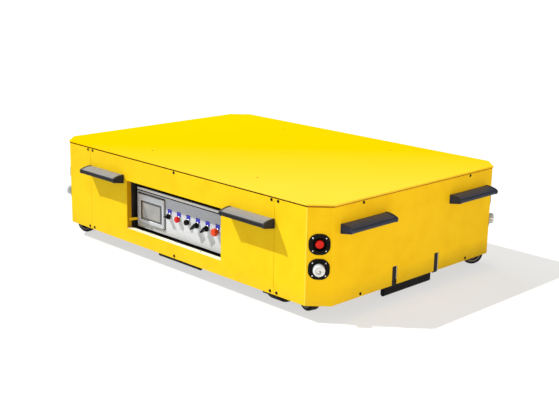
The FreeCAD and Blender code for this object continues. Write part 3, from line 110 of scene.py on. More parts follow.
class Finish:
    """One node material on the object's own coordinates."""

    def __init__(self, name, sockets):
        """sockets holds the shader's plain values by socket name."""
        self.material = bpy.data.materials.new(name)
        self.material.use_nodes = True
        self.tree = self.material.node_tree
        self.shader = self.tree.nodes["Principled BSDF"]
        self.place = self.add("ShaderNodeTexCoord").outputs["Object"]
        for socket, value in sockets.items():
            self.shader.inputs[socket].default_value = value

    def add(self, kind, **settings):
        node = self.tree.nodes.new(kind)
        for name, value in settings.items():
            setattr(node, name, value)
        return node

    def feed(self, socket, value):
        """Links an output to a socket, or sets the socket to a plain value."""
        if isinstance(value, bpy.types.NodeSocket):
            self.tree.links.new(value, socket)
        else:
            socket.default_value = value

    def done(self, tone, roughness, normal):
        """Links what every finish varies, and gives the material."""
        for socket, value in (("Base Color", tone), ("Roughness", roughness), ("Normal", normal)):
            self.feed(self.shader.inputs[socket], value)
        return self.material

    def noise(self, scale, detail=3.0, stretch=(1, 1, 1)):
        """Noise with about scale features in a metre."""
        mapping = self.add("ShaderNodeMapping")
        mapping.inputs["Scale"].default_value = stretch
        self.feed(mapping.inputs["Vector"], self.place)
        noise = self.add("ShaderNodeTexNoise")
        noise.inputs["Scale"].default_value = scale
        noise.inputs["Detail"].default_value = detail
        self.feed(noise.inputs["Vector"], mapping.outputs["Vector"])
        return noise.outputs["Fac"]

    def ramp(self, value, low=0.0, high=1.0, window=MIDDLE):
        """Runs from low to high while the value crosses a window of its range."""
        node = self.add("ShaderNodeMapRange")
        for name, part in zip(("From Min", "From Max", "To Min", "To Max"), (*window, low, high)):
            node.inputs[name].default_value = part
        self.feed(node.inputs["Value"], value)
        return node.outputs["Result"]

    def cloud(self, scale, detail=3.0, low=0.0, high=1.0, window=MIDDLE):
        """Noise that runs from low to high over a window of its range."""
        return self.ramp(self.noise(scale, detail), low, high, window)

    def math(self, operation, first, second=0.0):
        node = self.add("ShaderNodeMath", operation=operation)
        self.feed(node.inputs[0], first)
        self.feed(node.inputs[1], second)
        return node.outputs["Value"]

    def plus(self, first, second):
        return self.math("ADD", first, second)

    def minus(self, first, second):
        return self.math("SUBTRACT", first, second)

    def times(self, first, second):
        return self.math("MULTIPLY", first, second)

    def magnitude(self, value):
        return self.math("ABSOLUTE", value)

    def above(self, value, limit):
        """1 where the value is above the limit."""
        return self.math("GREATER_THAN", value, limit)

    def mix(self, amount, first, second):
        """Colour between first and second."""
        node = self.add("ShaderNodeMix", data_type="RGBA")
        for index, value in ((MIX_FACTOR, amount), (MIX_COLOUR_A, first), (MIX_COLOUR_B, second)):
            self.feed(node.inputs[index], value)
        return node.outputs[MIX_COLOUR_OUT]

    def component(self, vector, name):
        node = self.add("ShaderNodeSeparateXYZ")
        self.feed(node.inputs["Vector"], vector)
        return node.outputs[name]

    def axis(self, name):
        """One coordinate on the object: X, Y or Z."""
        return self.component(self.place, name)

    def facing(self, name):
        """One component of the surface's normal: X, Y or Z."""
        return self.component(self.add("ShaderNodeNewGeometry").outputs["Normal"], name)

    def at_ends(self):
        """1 on what stands on the two end faces."""
        return self.above(self.magnitude(self.axis("X")), SKIRT_X - END_MARGIN)

    def edges(self, radius):
        """A soft normal over the edges, and a mask that is 1 on them."""
        bevel = self.add("ShaderNodeBevel", samples=BEVEL_SAMPLES)
        bevel.inputs["Radius"].default_value = radius
        geometry = self.add("ShaderNodeNewGeometry")
        dot = self.add("ShaderNodeVectorMath", operation="DOT_PRODUCT")
        self.feed(dot.inputs[0], bevel.outputs["Normal"])
        self.feed(dot.inputs[1], geometry.outputs["Normal"])
        return bevel.outputs["Normal"], self.ramp(dot.outputs["Value"], window=EDGE_COSINES)

    def bump(self, height, distance, normal=None):
        node = self.add("ShaderNodeBump")
        node.inputs["Distance"].default_value = distance
        self.feed(node.inputs["Height"], height)
        if normal is not None:
            self.feed(node.inputs["Normal"], normal)
        return node.outputs["Normal"]


def colour(red, green, blue):
    return (red, green, blue, 1.0)


def grey(level):
    return colour(level, level, level)


def lighter(tone, gain):
    return tuple(min(1.0, gain * part) for part in tone)


# Yellow powder coat

YELLOW = colour(0.88, 0.598, 0.011)
YELLOW_DEEP = colour(0.85, 0.568, 0.009)
YELLOW_NEAR = colour(0.88, 0.61, 0.055)
YELLOW_FAR = colour(0.87, 0.525, 0.0)
YELLOW_EDGE = colour(0.93, 0.68, 0.02)
# painted highlight: the paler rim along the deck's edges, broken into patches like wear
YELLOW_RIM_HIGHLIGHT = colour(0.98, 0.80, 0.20)
# painted highlight: pale cream on the bends between the long sides and the cut corners, where they catch
# the light
YELLOW_BEND_HIGHLIGHT = colour(0.98, 0.86, 0.13)
AMBER = colour(0.76, 0.455, 0.003)
DUST = colour(0.42, 0.34, 0.20)
# painted shade: the end shells darken towards their foot, more towards the plain side
FOOT_SHADE = colour(0.36, 0.25, 0.004)
# painted shade: a deep ochre on the upright folds of the control window, which stand in shade
FOLD_PAINTED_SHADE = colour(0.50, 0.27, 0.004)

COAT_SPECULAR = 0.02
DECK_SPECULAR = 0.0
MOTTLE_SHARE = 0.10
MOTTLE_WINDOW = (0.35, 0.65)
AMBER_SHARE = 0.38
AMBER_WINDOW = (0.45, 0.72)
DUST_SHARE = 0.18
DUST_RISE = 0.07
# patches of edge wear; on the deck they also break up the painted rim highlight
WEAR_AND_HIGHLIGHT_LEAST = 0.15
WEAR_AND_HIGHLIGHT_MOST = 0.6
WEAR_AND_HIGHLIGHT_WINDOW = (0.4, 0.7)
DECK_HIGHLIGHT_RIM = 0.004
SHEET_RIM = 0.0012
WAVE_DEPTH = 0.0012
PEEL_DEPTH = 0.00016
# direction, in the plan, half way round the bend from a long side to a cut corner
BEND_NORMAL = (math.sin(HALF_BEND), math.cos(HALF_BEND))
BEND_COSINES = (0.95, 0.985)
BEND_HIGHLIGHT_SHARE = 0.6
# reach and strength of the painted shade along the end shells' foot
FOOT_SHADE_RISE = 0.075
FOOT_SHADE_CONTROL_SIDE = 0.12
FOOT_SHADE_PLAIN_SIDE = 0.75
FOOT_SHADE_THINNEST = 0.75
FOLD_START = 0.004
FOLD_FACING = 0.7
# values of Y - X over which the deck's tone runs from near to far
NEAR_FAR_WINDOW = (-1.1, 0.1)
NEAR_SHARE = 0.7
SCUFF_STRETCH = (1.0, 28.0, 1.0)
SCUFF_WINDOW = (0.64, 0.74)
SCUFF_SHARE = 0.22
SCUFF_ROUGHNESS = 0.5


def from_foot(finish, rise, share):
    """Falls from a share at the skirt's lower edge to nothing at a height above it."""
    return finish.ramp(finish.axis("Z"), share, 0.0, (SKIRT_BOTTOM, SKIRT_BOTTOM + rise))


def bend_highlight(finish):
    """Share of painted highlight on the bends from the long sides to the cut corners."""
    lengthwise = finish.times(finish.magnitude(finish.facing("X")), BEND_NORMAL[0])
    sidewise = finish.times(finish.magnitude(finish.facing("Y")), BEND_NORMAL[1])
    return finish.ramp(finish.plus(lengthwise, sidewise), high=BEND_HIGHLIGHT_SHARE, window=BEND_COSINES)


def along_foot(finish):
    """Share of painted shade along the foot of an end shell, from the control side to the plain side."""
    spread = finish.ramp(finish.axis("Y"), FOOT_SHADE_CONTROL_SIDE, FOOT_SHADE_PLAIN_SIDE, (-SKIRT_Y, SKIRT_Y))
    patchy = finish.cloud(scale=9.0, low=FOOT_SHADE_THINNEST)
    return finish.times(finish.times(from_foot(finish, FOOT_SHADE_RISE, 1.0), spread), patchy)


def in_fold(finish):
    """1 on the upright folds at the sides of the control window."""
    behind = finish.above(finish.axis("Y"), FOLD_START - SKIRT_Y)
    turned = finish.above(finish.magnitude(finish.facing("X")), FOLD_FACING)
    return finish.times(behind, turned)


def yellow_coat(name, deck_scuffs_and_highlight=False, foot_shade=False, fold=False):
    """Powder coat: fine orange peel, slow drift of tone, dust low down, thin coat on edges, and a painted
    highlight on the bends.

    The first switch adds sliding marks, a painted highlight along the rims and a tone that runs paler
    towards the near corner; the second a painted shade along the foot; the third a painted shade on the
    window's upright folds.
    """
    finish = Finish(name, {SPECULAR: DECK_SPECULAR if deck_scuffs_and_highlight else COAT_SPECULAR})
    tone = finish.mix(finish.cloud(scale=1.7, detail=2.0), YELLOW_DEEP, YELLOW)
    mottle = finish.cloud(scale=26.0, detail=4.0, high=MOTTLE_SHARE, window=MOTTLE_WINDOW)
    tone = finish.mix(mottle, tone, YELLOW_EDGE)
    if not deck_scuffs_and_highlight:
        patches = finish.cloud(scale=11.0, detail=5.0, high=AMBER_SHARE, window=AMBER_WINDOW)
        tone = finish.mix(patches, tone, AMBER)
    specks = finish.cloud(scale=95.0, detail=5.0, window=SPECKS)
    tone = finish.mix(finish.times(from_foot(finish, DUST_RISE, DUST_SHARE), specks), tone, DUST)
    # painted highlight on the bends
    tone = finish.mix(bend_highlight(finish), tone, YELLOW_BEND_HIGHLIGHT)
    # painted shade along the foot of the end shells
    if foot_shade:
        tone = finish.mix(along_foot(finish), tone, FOOT_SHADE)
    # painted shade on the window's upright folds
    if fold:
        tone = finish.mix(in_fold(finish), tone, FOLD_PAINTED_SHADE)
    # on the deck the rim is a painted highlight, patchy like wear; on the sheets it is plain edge wear
    soft, edge = finish.edges(DECK_HIGHLIGHT_RIM if deck_scuffs_and_highlight else SHEET_RIM)
    wear_and_highlight = finish.cloud(scale=40.0, low=WEAR_AND_HIGHLIGHT_LEAST, high=WEAR_AND_HIGHLIGHT_MOST, window=WEAR_AND_HIGHLIGHT_WINDOW)
    tone = finish.mix(finish.times(edge, wear_and_highlight), tone, YELLOW_RIM_HIGHLIGHT if deck_scuffs_and_highlight else YELLOW_EDGE)
    rough = finish.cloud(scale=70.0, detail=4.0, low=0.33, high=0.43)
    if deck_scuffs_and_highlight:
        far = finish.ramp(finish.minus(finish.axis("Y"), finish.axis("X")), window=NEAR_FAR_WINDOW)
        tone = finish.mix(far, finish.mix(NEAR_SHARE, tone, YELLOW_NEAR), YELLOW_FAR)
        streaks = finish.noise(scale=7.0, detail=6.0, stretch=SCUFF_STRETCH)
        scuff = finish.ramp(streaks, high=SCUFF_SHARE, window=SCUFF_WINDOW)
        tone = finish.mix(scuff, tone, YELLOW_EDGE)
        rough = finish.plus(rough, finish.times(scuff, SCUFF_ROUGHNESS))
    waves = finish.bump(finish.noise(scale=6.0, detail=1.0), WAVE_DEPTH, soft)
    peel = finish.bump(finish.noise(scale=620.0, detail=2.0), PEEL_DEPTH, waves)
    return finish.done(tone, rough, peel)


# Mouldings, paints and metals

MOULDED_EDGE = 0.0008
MOULDED_RIM = 0.35
MOULDED_GAIN = 1.6
MOULDED_SPREAD = 0.06
METAL_EDGE = 0.0006
METAL_RIM = 0.4
LINE_SCALE = 3.0
LINE_DETAIL = 5.0
LINE_DEPTH = 0.00004
LINE_SHINE = 0.07
LINE_DULLNESS = 0.09
LINES_ALONG_X = (6.0, 300.0, 300.0)
FINE_DEPTH = 0.00005


def grained(name, dark, light, roughness, grain=900.0, depth=0.00008, specular=0.5, ends=None):
    """A moulded or painted surface: two close tones, a fine grain and bright edges.

    ends gives the two tones of what stands on the end faces, a painted shade.
    """
    finish = Finish(name, {SPECULAR: specular})
    drift = finish.cloud(scale=18.0, detail=4.0)
    tone = finish.mix(drift, dark, light)
    if ends is not None:
        # painted shade on the end faces
        tone = finish.mix(finish.at_ends(), tone, finish.mix(drift, *ends))
    soft, rim = finish.edges(MOULDED_EDGE)
    tone = finish.mix(finish.times(rim, MOULDED_RIM), tone, lighter(light, MOULDED_GAIN))
    rough = finish.cloud(
        scale=55.0, detail=4.0, low=roughness - MOULDED_SPREAD, high=roughness + MOULDED_SPREAD)
    return finish.done(tone, rough, finish.bump(finish.noise(grain, detail=2.0), depth, soft))


def brushed(name, dark, light, roughness, metallic, stretch=LINES_ALONG_X):
    """Metal with lines along one axis."""
    finish = Finish(name, {"Metallic": metallic})
    lines = finish.noise(LINE_SCALE, LINE_DETAIL, stretch)
    tone = finish.mix(finish.ramp(lines), dark, light)
    soft, rim = finish.edges(METAL_EDGE)
    tone = finish.mix(finish.times(rim, METAL_RIM), tone, light)
    rough = finish.ramp(lines, roughness - LINE_SHINE, roughness + LINE_DULLNESS)
    return finish.done(tone, rough, finish.bump(lines, LINE_DEPTH, soft))


SILVER_TONES = (colour(0.63, 0.66, 0.70), colour(0.69, 0.72, 0.76))
# painted shade: the panel darkens towards its top, where the window's upper edge shades it
SILVER_PAINTED_SHADE = colour(0.37, 0.41, 0.48)
SILVER_STRIP = colour(0.70, 0.71, 0.73)
# painted shadow: a black band along the panel's upper edge, where the gap above it lies in shade
PANEL_GAP_SHADE = grey(0.012)
PAINTED_SHADE_WINDOW = (PANEL_BOTTOM + 0.10, PANEL_TOP - 0.06)
PAINTED_SHADE_SHARE = 0.8
STRIP_REACH = 0.017
GAP_SHADE_REACH = 0.0042


def silver_face(name):
    """Satin panel, brushed lengthwise: a painted shade darkens its upper part, a light strip lies above it,
    and a painted black shadow gap runs along its upper edge.
    """
    finish = Finish(name, {})
    lines = finish.noise(LINE_SCALE, LINE_DETAIL, LINES_ALONG_X)
    tone = finish.mix(finish.ramp(lines), *SILVER_TONES)
    height = finish.axis("Z")
    # painted shade over the upper part
    tone = finish.mix(finish.ramp(height, high=PAINTED_SHADE_SHARE, window=PAINTED_SHADE_WINDOW), tone, SILVER_PAINTED_SHADE)
    tone = finish.mix(finish.above(height, PANEL_TOP - STRIP_REACH), tone, SILVER_STRIP)
    # painted shadow gap along the upper edge
    tone = finish.mix(finish.above(height, PANEL_TOP - GAP_SHADE_REACH), tone, PANEL_GAP_SHADE)
    soft, _ = finish.edges(METAL_EDGE)
    rough = finish.ramp(lines, low=0.35, high=0.51)
    return finish.done(tone, rough, finish.bump(lines, LINE_DEPTH, soft))


# painted reflection: grey on the upward faces, where the black bar reflects the sky; the end bars get
# darker, bluer copies as painted shade
HOOD_SHEEN_SIDE = (colour(0.255, 0.26, 0.285), colour(0.30, 0.305, 0.33))
HOOD_SHEEN_SHADED_END = (colour(0.052, 0.076, 0.160), colour(0.072, 0.099, 0.196))
NOSE_SIDE = (colour(0.006, 0.006, 0.008), colour(0.012, 0.012, 0.016))
NOSE_SHADED_END = (colour(0.020, 0.028, 0.050), colour(0.028, 0.037, 0.063))
HOOD_STRETCH = (9.0, 9.0, 260.0)
# upward part of the normal, from the nose to the top
TOP_WINDOW = (0.74, 0.99)
NOSE_ROUGHNESS = 0.55
TOP_ROUGHNESS = 0.42
STREAK_ROUGHNESS = 0.06


def hood_extrusion(name):
    """Drawn bar with drawing lines and a black nose; the grey top on the sides is a painted reflection of
    the sky, and the darker slate tones on the ends are a painted shade.
    """
    finish = Finish(name, {SPECULAR: 0.22})
    top = finish.ramp(finish.facing("Z"), window=TOP_WINDOW)
    lines = finish.noise(LINE_SCALE, stretch=HOOD_STRETCH)
    drawn = finish.ramp(lines)
    at_ends = finish.at_ends()
    # painted reflection on the top, with a painted shade copy on the ends
    top_sheen = finish.mix(at_ends, finish.mix(drawn, *HOOD_SHEEN_SIDE), finish.mix(drawn, *HOOD_SHEEN_SHADED_END))
    nose = finish.mix(at_ends, finish.mix(drawn, *NOSE_SIDE), finish.mix(drawn, *NOSE_SHADED_END))
    rough = finish.ramp(top, NOSE_ROUGHNESS, TOP_ROUGHNESS, WHOLE)
    rough = finish.plus(rough, finish.times(drawn, STREAK_ROUGHNESS))
    soft, _ = finish.edges(METAL_EDGE)
    return finish.done(finish.mix(top, nose, top_sheen), rough, finish.bump(lines, LINE_DEPTH, soft))


ZINC_TONES = (colour(0.50, 0.51, 0.53), colour(0.70, 0.70, 0.69))
ZINC_STAIN = colour(0.36, 0.35, 0.33)
STAIN_WINDOW = (0.5, 0.75)
SPANGLES = 140.0
SPANGLE_WINDOW = (0.0, 0.7)


def zinc(name):
    """Zinc plate: pale spangled metal with dull patches."""
    finish = Finish(name, {"Metallic": 0.85})
    cells = finish.add("ShaderNodeTexVoronoi")
    cells.inputs["Scale"].default_value = SPANGLES
    finish.feed(cells.inputs["Vector"], finish.place)
    spangle = finish.ramp(cells.outputs["Distance"], window=SPANGLE_WINDOW)
    stain = finish.cloud(scale=30.0, detail=5.0, high=0.5, window=STAIN_WINDOW)
    tone = finish.mix(stain, finish.mix(spangle, *ZINC_TONES), ZINC_STAIN)
    rough = finish.ramp(spangle, low=0.28, high=0.45, window=WHOLE)
    soft, _ = finish.edges(METAL_EDGE)
    return finish.done(tone, rough, finish.bump(finish.noise(scale=300.0), FINE_DEPTH, soft))


CAST_EDGE = 0.002
CAST_RIM = 0.4
CAST_GAIN = 1.8
SAND_DEPTH = 0.0004


def cast(name, dark, light):
    """Painted casting: coarse sand texture under a thin coat."""
    finish = Finish(name, {SPECULAR: 0.45})
    tone = finish.mix(finish.cloud(scale=24.0, detail=5.0), dark, light)
    soft, rim = finish.edges(CAST_EDGE)
    tone = finish.mix(finish.times(rim, CAST_RIM), tone, lighter(light, CAST_GAIN))
    rough = finish.cloud(scale=60.0, detail=4.0, low=0.46, high=0.62)
    return finish.done(tone, rough, finish.bump(finish.noise(scale=210.0, detail=4.0), SAND_DEPTH, soft))


TREAD_BLACK = colour(0.005, 0.005, 0.0055)
TREAD_DUST = colour(0.036, 0.034, 0.032)
TREAD_DEPTH = 0.0003
SOFT_EDGE = 0.001


def rubber(name):
    """Tread: matt black with floor dust and a fine texture."""
    finish = Finish(name, {SPECULAR: 0.14})
    dust = finish.cloud(scale=42.0, detail=5.0, high=0.45, window=SPECKS)
    tone = finish.mix(dust, TREAD_BLACK, TREAD_DUST)
    soft, _ = finish.edges(SOFT_EDGE)
    rough = finish.cloud(scale=120.0, detail=4.0, low=0.68, high=0.85)
    return finish.done(tone, rough, finish.bump(finish.noise(scale=380.0, detail=4.0), TREAD_DEPTH, soft))


def red_gloss(name, dark, light):
    """Gloss moulding in two close reds."""
    finish = Finish(name, {SPECULAR: 0.14, "Coat Weight": 0.05, "Coat Roughness": 0.12})
    tone = finish.mix(finish.cloud(scale=60.0), dark, light)
    soft, _ = finish.edges(SOFT_EDGE)
    rough = finish.cloud(scale=240.0, low=0.24, high=0.36)
    return finish.done(tone, rough, finish.bump(finish.noise(scale=500.0, detail=2.0), FINE_DEPTH, soft))


LENS_WHITE = colour(0.86, 0.95, 1.0)
LENS_GREY = colour(0.22, 0.235, 0.25)
LENS_SIDE = colour(0.30, 0.31, 0.32)
LENS_SIDE_WINDOW = (LENS_RADIUS * 0.93, LENS_RADIUS)
LENS_SIDE_SHARE = 0.55
# radians in a metre of radius
SWIRL_TWIST = 330.0
RIB_TWIST = 2600.0
RIB_DEPTH = 0.0002
SWIRL_SINES = (-0.2, 1.0)
SWIRL_REACH = (0.006, 0.020)
SWIRL_SHARE = 0.95


def lens(name):
    """Milky clear dome on local Z with a grey swirl from the reflector behind it."""
    finish = Finish(name, {
        SPECULAR: 0.6, "Transmission Weight": 0.12, "Coat Weight": 0.6, "Coat Roughness": 0.05})
    across = finish.axis("X")
    along = finish.axis("Y")
    angle = finish.math("ARCTAN2", along, across)
    radius = finish.math("SQRT", finish.plus(finish.times(across, across), finish.times(along, along)))
    turns = finish.plus(angle, finish.times(radius, SWIRL_TWIST))
    swirl = finish.ramp(finish.math("SINE", turns), window=SWIRL_SINES)
    inside = finish.ramp(radius, low=1.0, high=0.0, window=SWIRL_REACH)
    amount = finish.times(finish.times(swirl, inside), SWIRL_SHARE)
    tone = finish.mix(amount, LENS_WHITE, LENS_GREY)
    tone = finish.mix(finish.ramp(radius, high=LENS_SIDE_SHARE, window=LENS_SIDE_WINDOW), tone, LENS_SIDE)
    ribs = finish.math("SINE", finish.times(radius, RIB_TWIST))
    rough = finish.cloud(scale=200.0, low=0.10, high=0.2)
    return finish.done(tone, rough, finish.bump(ribs, RIB_DEPTH))


FIELD_TONES = (colour(0.24, 0.245, 0.245), colour(0.31, 0.312, 0.30))
FIELD_RIM = colour(0.012, 0.012, 0.013)
RIM_WIDTH = 0.0110
RIM_HEIGHT = 0.0080
RIM_BLUR = 0.0010
DOT_DEPTH = 0.00002


def display(name):
    """Dark-field screen: grey panel with a black rim, under a clear pane."""
    finish = Finish(name, {SPECULAR: 0.5, "Coat Weight": 0.8, "Coat Roughness": 0.06})
    middle = (screen_low + screen_high) / 2
    half = (screen_high - screen_low) / 2
    across = finish.magnitude(finish.minus(finish.axis("X"), middle.x))
    up = finish.magnitude(finish.minus(finish.axis("Z"), middle.z))
    rim_x = finish.ramp(across, window=(half.x - RIM_WIDTH - RIM_BLUR, half.x - RIM_WIDTH))
    rim_z = finish.ramp(up, window=(half.z - RIM_HEIGHT - RIM_BLUR, half.z - RIM_HEIGHT))
    field = finish.mix(finish.cloud(scale=14.0), *FIELD_TONES)
    tone = finish.mix(finish.math("MAXIMUM", rim_x, rim_z), field, FIELD_RIM)
    rough = finish.cloud(scale=90.0, low=0.22, high=0.34)
    return finish.done(tone, rough, finish.bump(finish.noise(scale=2600.0, detail=1.0), DOT_DEPTH))


COAT = yellow_coat("yellow_powder_coat")
DECK_COAT = yellow_coat("yellow_deck_coat", deck_scuffs_and_highlight=True)
END_COAT = yellow_coat("yellow_end_coat", foot_shade=True)
WINDOW_COAT = yellow_coat("yellow_window_coat", fold=True)
BLACK_PAINT = grained(
    "black_paint", colour(0.006, 0.006, 0.0065), colour(0.013, 0.013, 0.014),
    roughness=0.5, grain=300.0, depth=0.0003, specular=0.2)
BLACK_MOULDING = grained(
    "black_moulding", colour(0.0018, 0.0018, 0.002), colour(0.0045, 0.0045, 0.0048),
    roughness=0.46, specular=0.10)
HOOD_EXTRUSION = hood_extrusion("hood_extrusion")
# the caps on the end faces get bluer tones, a painted shade
CAP_MOULDING = grained(
    "cap_moulding", colour(0.014, 0.016, 0.024), colour(0.024, 0.027, 0.038),
    roughness=0.4, specular=0.2, ends=(colour(0.020, 0.030, 0.066), colour(0.030, 0.042, 0.088)))
SILVER_PANEL = silver_face("silver_panel")
BOX_PAINT = grained("box_paint", grey(0.012), grey(0.022), roughness=0.55, grain=260.0, depth=0.0002)
SCREEN_FRAME = brushed(
    "screen_frame", colour(0.49, 0.52, 0.57), colour(0.61, 0.645, 0.70),
    roughness=0.4, metallic=0.4, stretch=(120.0, 40.0, 120.0))
DISPLAY = display("display")
CHROME = brushed(
    "collar_chrome", colour(0.42, 0.42, 0.43), colour(0.56, 0.56, 0.57), roughness=0.34, metallic=1.0)
RED = red_gloss("red_moulding", colour(0.58, 0.010, 0.005), colour(0.69, 0.016, 0.008))
STOP_RED = red_gloss("stop_moulding", colour(0.70, 0.050, 0.010), colour(0.79, 0.072, 0.015))
LENS = lens("lamp_lens")
ZINC = zinc("zinc_plate")
RUBBER = rubber("tread_rubber")
CORE = grained(
    "wheel_core", colour(0.055, 0.055, 0.06), colour(0.085, 0.085, 0.09),
    roughness=0.5, grain=500.0, depth=0.0002)
CASTING = cast("painted_casting", colour(0.009, 0.0095, 0.010), colour(0.019, 0.0195, 0.021))
GEAR_STEEL = brushed(
    "gear_steel", colour(0.30, 0.30, 0.31), colour(0.46, 0.46, 0.47),
    roughness=0.3, metallic=0.95, stretch=(60.0, 60.0, 500.0))
MOTOR_PAINT = grained(
    "motor_paint", colour(0.03, 0.034, 0.04), colour(0.055, 0.06, 0.068),
    roughness=0.4, grain=260.0, depth=0.0002)
BATTERY_PAINT = grained(
    "battery_paint", colour(0.07, 0.09, 0.13), colour(0.10, 0.125, 0.17), roughness=0.45, grain=420.0)
DARK_SCREW = grained("dark_screw", grey(0.003), grey(0.006), roughness=0.5, specular=0.12)
BRIGHT_SCREW = brushed(
    "bright_screw", colour(0.55, 0.55, 0.57), colour(0.75, 0.75, 0.76), roughness=0.22, metallic=1.0)
LABEL_BLUE = grained(
    "label_blue", colour(0.018, 0.016, 0.44), colour(0.032, 0.028, 0.54),
    roughness=0.5, grain=700.0, depth=0.00004, specular=0.2)
LABEL_LINE = grained(
    "label_line", colour(0.15, 0.15, 0.66), colour(0.20, 0.20, 0.74),
    roughness=0.5, grain=700.0, depth=0.00004, specular=0.2)
# painted highlight: cream for the brightly lit lower fold of the control window
SILL_HIGHLIGHT = grained(
    "sill_highlight", colour(0.90, 0.87, 0.66), colour(0.96, 0.93, 0.74),
    roughness=0.5, grain=500.0, depth=0.00006)
# painted shade: dark amber for yellow sheet in shade inside the deck gap
GAP_SHADE_AMBER = grained(
    "gap_shade_amber", colour(0.26, 0.080, 0.0), colour(0.33, 0.105, 0.0),
    roughness=0.6, grain=500.0, depth=0.0002, specular=0.1)
# black rubber of the screen gasket, its rim also a painted shadow line around the frame
GASKET_AND_SHADE = grained("gasket_rubber_and_shade", grey(0.008), grey(0.016), roughness=0.7, grain=500.0, depth=0.0002)

# finish by the start of the node's name
NODE_MATERIALS = {
    "deck_plate": DECK_COAT,
    "end_shell": END_COAT,
    "side_panel_control": WINDOW_COAT,
    "side_panel_plain": COAT,
    "chassis_frame": BLACK_PAINT,
    "control_box": BOX_PAINT,
    "control_panel": SILVER_PANEL,
    "hmi_frame": SCREEN_FRAME,
    "hmi_screen": DISPLAY,
    "switch_collars": CHROME,
    "key_selector": BLACK_MOULDING,
    "red_push_button": RED,
    "black_push_button": BLACK_MOULDING,
    "mode_selector": BLACK_MOULDING,
    "direction_selector": BLACK_MOULDING,
    "panel_stop_button": STOP_RED,
    "corner_stop": RED,
    "corner_bezels": BLACK_MOULDING,
    "lamp_lenses": LENS,
    "obstacle_sensor_housings": HOOD_EXTRUSION,
    "obstacle_sensor_end_caps": CAP_MOULDING,
    "guide_sensor_arms": BLACK_PAINT,
    "guide_sensors": BLACK_MOULDING,
    "battery_tray": BLACK_PAINT,
    "battery_pack": BATTERY_PAINT,
    "caster_top_plates": ZINC,
    "caster_fork": ZINC,
    "caster_axle": ZINC,
    "caster_wheel": CORE,
    "caster_tyre": RUBBER,
    "drive_gear_case": CASTING,
    "drive_mount_plates": BLACK_PAINT,
    "drive_wheel": CASTING,
    "drive_tyre": RUBBER,
    "steer_ring_gear": GEAR_STEEL,
    "steer_pinion": GEAR_STEEL,
    "steer_motors": MOTOR_PAINT,
    "traction_motor": MOTOR_PAINT,
}


def dress_nodes():
    """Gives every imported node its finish; the longest matching name wins."""
    for name, node in NODES.items():
        matches = [key for key in NODE_MATERIALS if name.startswith(key)]
        material = NODE_MATERIALS[max(matches, key=len)]
        node.data.materials.clear()
        node.data.materials.append(material)


# Mesh helpers

SHARP_ANGLE = math.radians(32)


def on_face(x, y, z, yaw):
    """Local Z out of an upright face that looks to yaw, local Y up."""
    turn = math.radians(yaw)
    out = Vector((math.cos(turn), math.sin(turn), 0))
    up = Vector((0, 0, 1))
    right = up.cross(out)
    place = Matrix((right, up, out)).transposed().to_4x4()
    place.translation = (x, y, z)
    return place


def on_level(x, y, z, downward=False):
    """Local Z up, or down."""
    place = Matrix.Rotation(math.pi, 4, "X") if downward else Matrix.Identity(4)
    place.translation = (x, y, z)
    return place


def corner_place(sign_x, sign_y, z, yaw):
    """The middle of a cut corner's face at height z."""
    half = SKIRT_CORNER / 2
    return on_face(sign_x * (SKIRT_X - half), sign_y * (SKIRT_Y - half), z, yaw)


def hexagon(apothem):
    """Radius of a hexagon by angle."""
    sixth = math.pi / 3

    def radius(angle):
        return apothem / math.cos((angle + sixth / 2) % sixth - sixth / 2)

    return radius


def bridge(bm, lower, upper):
    """Faces between two closed loops with the same number of points."""
    faces = []
    count = len(lower)
    for step in range(count):
        after = (step + 1) % count
        faces.append(bm.faces.new((lower[step], lower[after], upper[after], upper[step])))
    return faces


def cap_ends(bm, loops):
    """Faces that close the first and the last loop."""
    return [bm.faces.new(list(reversed(loops[0]))), bm.faces.new(loops[-1])]


def ring_stack(bm, rings, place, segments=24):
    """A closed turned solid: rings are (radius or function of angle, height) from bottom to top."""
    loops = []
    for radius, height in rings:
        loop = []
        for step in range(segments):
            angle = 2 * math.pi * step / segments
            reach = radius(angle) if callable(radius) else radius
            point = Vector((reach * math.cos(angle), reach * math.sin(angle), height))
            loop.append(bm.verts.new(place @ point))
        loops.append(loop)
    for lower, upper in zip(loops, loops[1:]):
        bridge(bm, lower, upper)
    cap_ends(bm, loops)


def rounded_outline(width, height, radius, steps=5):
    """Points of a rectangle with round corners, counter-clockwise."""
    points = []
    for corner, (side_x, side_y) in enumerate(((1, 1), (-1, 1), (-1, -1), (1, -1))):
        centre = Vector((side_x * (width / 2 - radius), side_y * (height / 2 - radius)))
        for step in range(steps + 1):
            angle = math.pi / 2 * (corner + step / steps)
            points.append(centre + radius * Vector((math.cos(angle), math.sin(angle))))
    return points


def plate(bm, width, height, radius, low, high, edge, place, slot=0):
    """A plate with round corners and a broken upper edge, between two heights on local Z."""
    loops = []
    for inset, level in ((0.0, low), (0.0, high - edge), (edge, high)):
        outline = rounded_outline(width - 2 * inset, height - 2 * inset, radius - inset)
        loops.append([bm.verts.new(place @ Vector((p.x, p.y, level))) for p in outline])
    faces = cap_ends(bm, loops)
    for lower, upper in zip(loops, loops[1:]):
        faces += bridge(bm, lower, upper)
    for face in faces:
        face.material_index = slot


def ring_frame(bm, sections, place):
    """A closed frame: sections are (width, height, corner radius, level, x, y) around its bar."""
    loops = []
    for width, height, radius, level, x, y in sections:
        outline = rounded_outline(width, height, radius)
        loops.append([bm.verts.new(place @ Vector((p.x + x, p.y + y, level))) for p in outline])
    for lower, upper in zip(loops, loops[1:] + loops[:1]):
        bridge(bm, lower, upper)


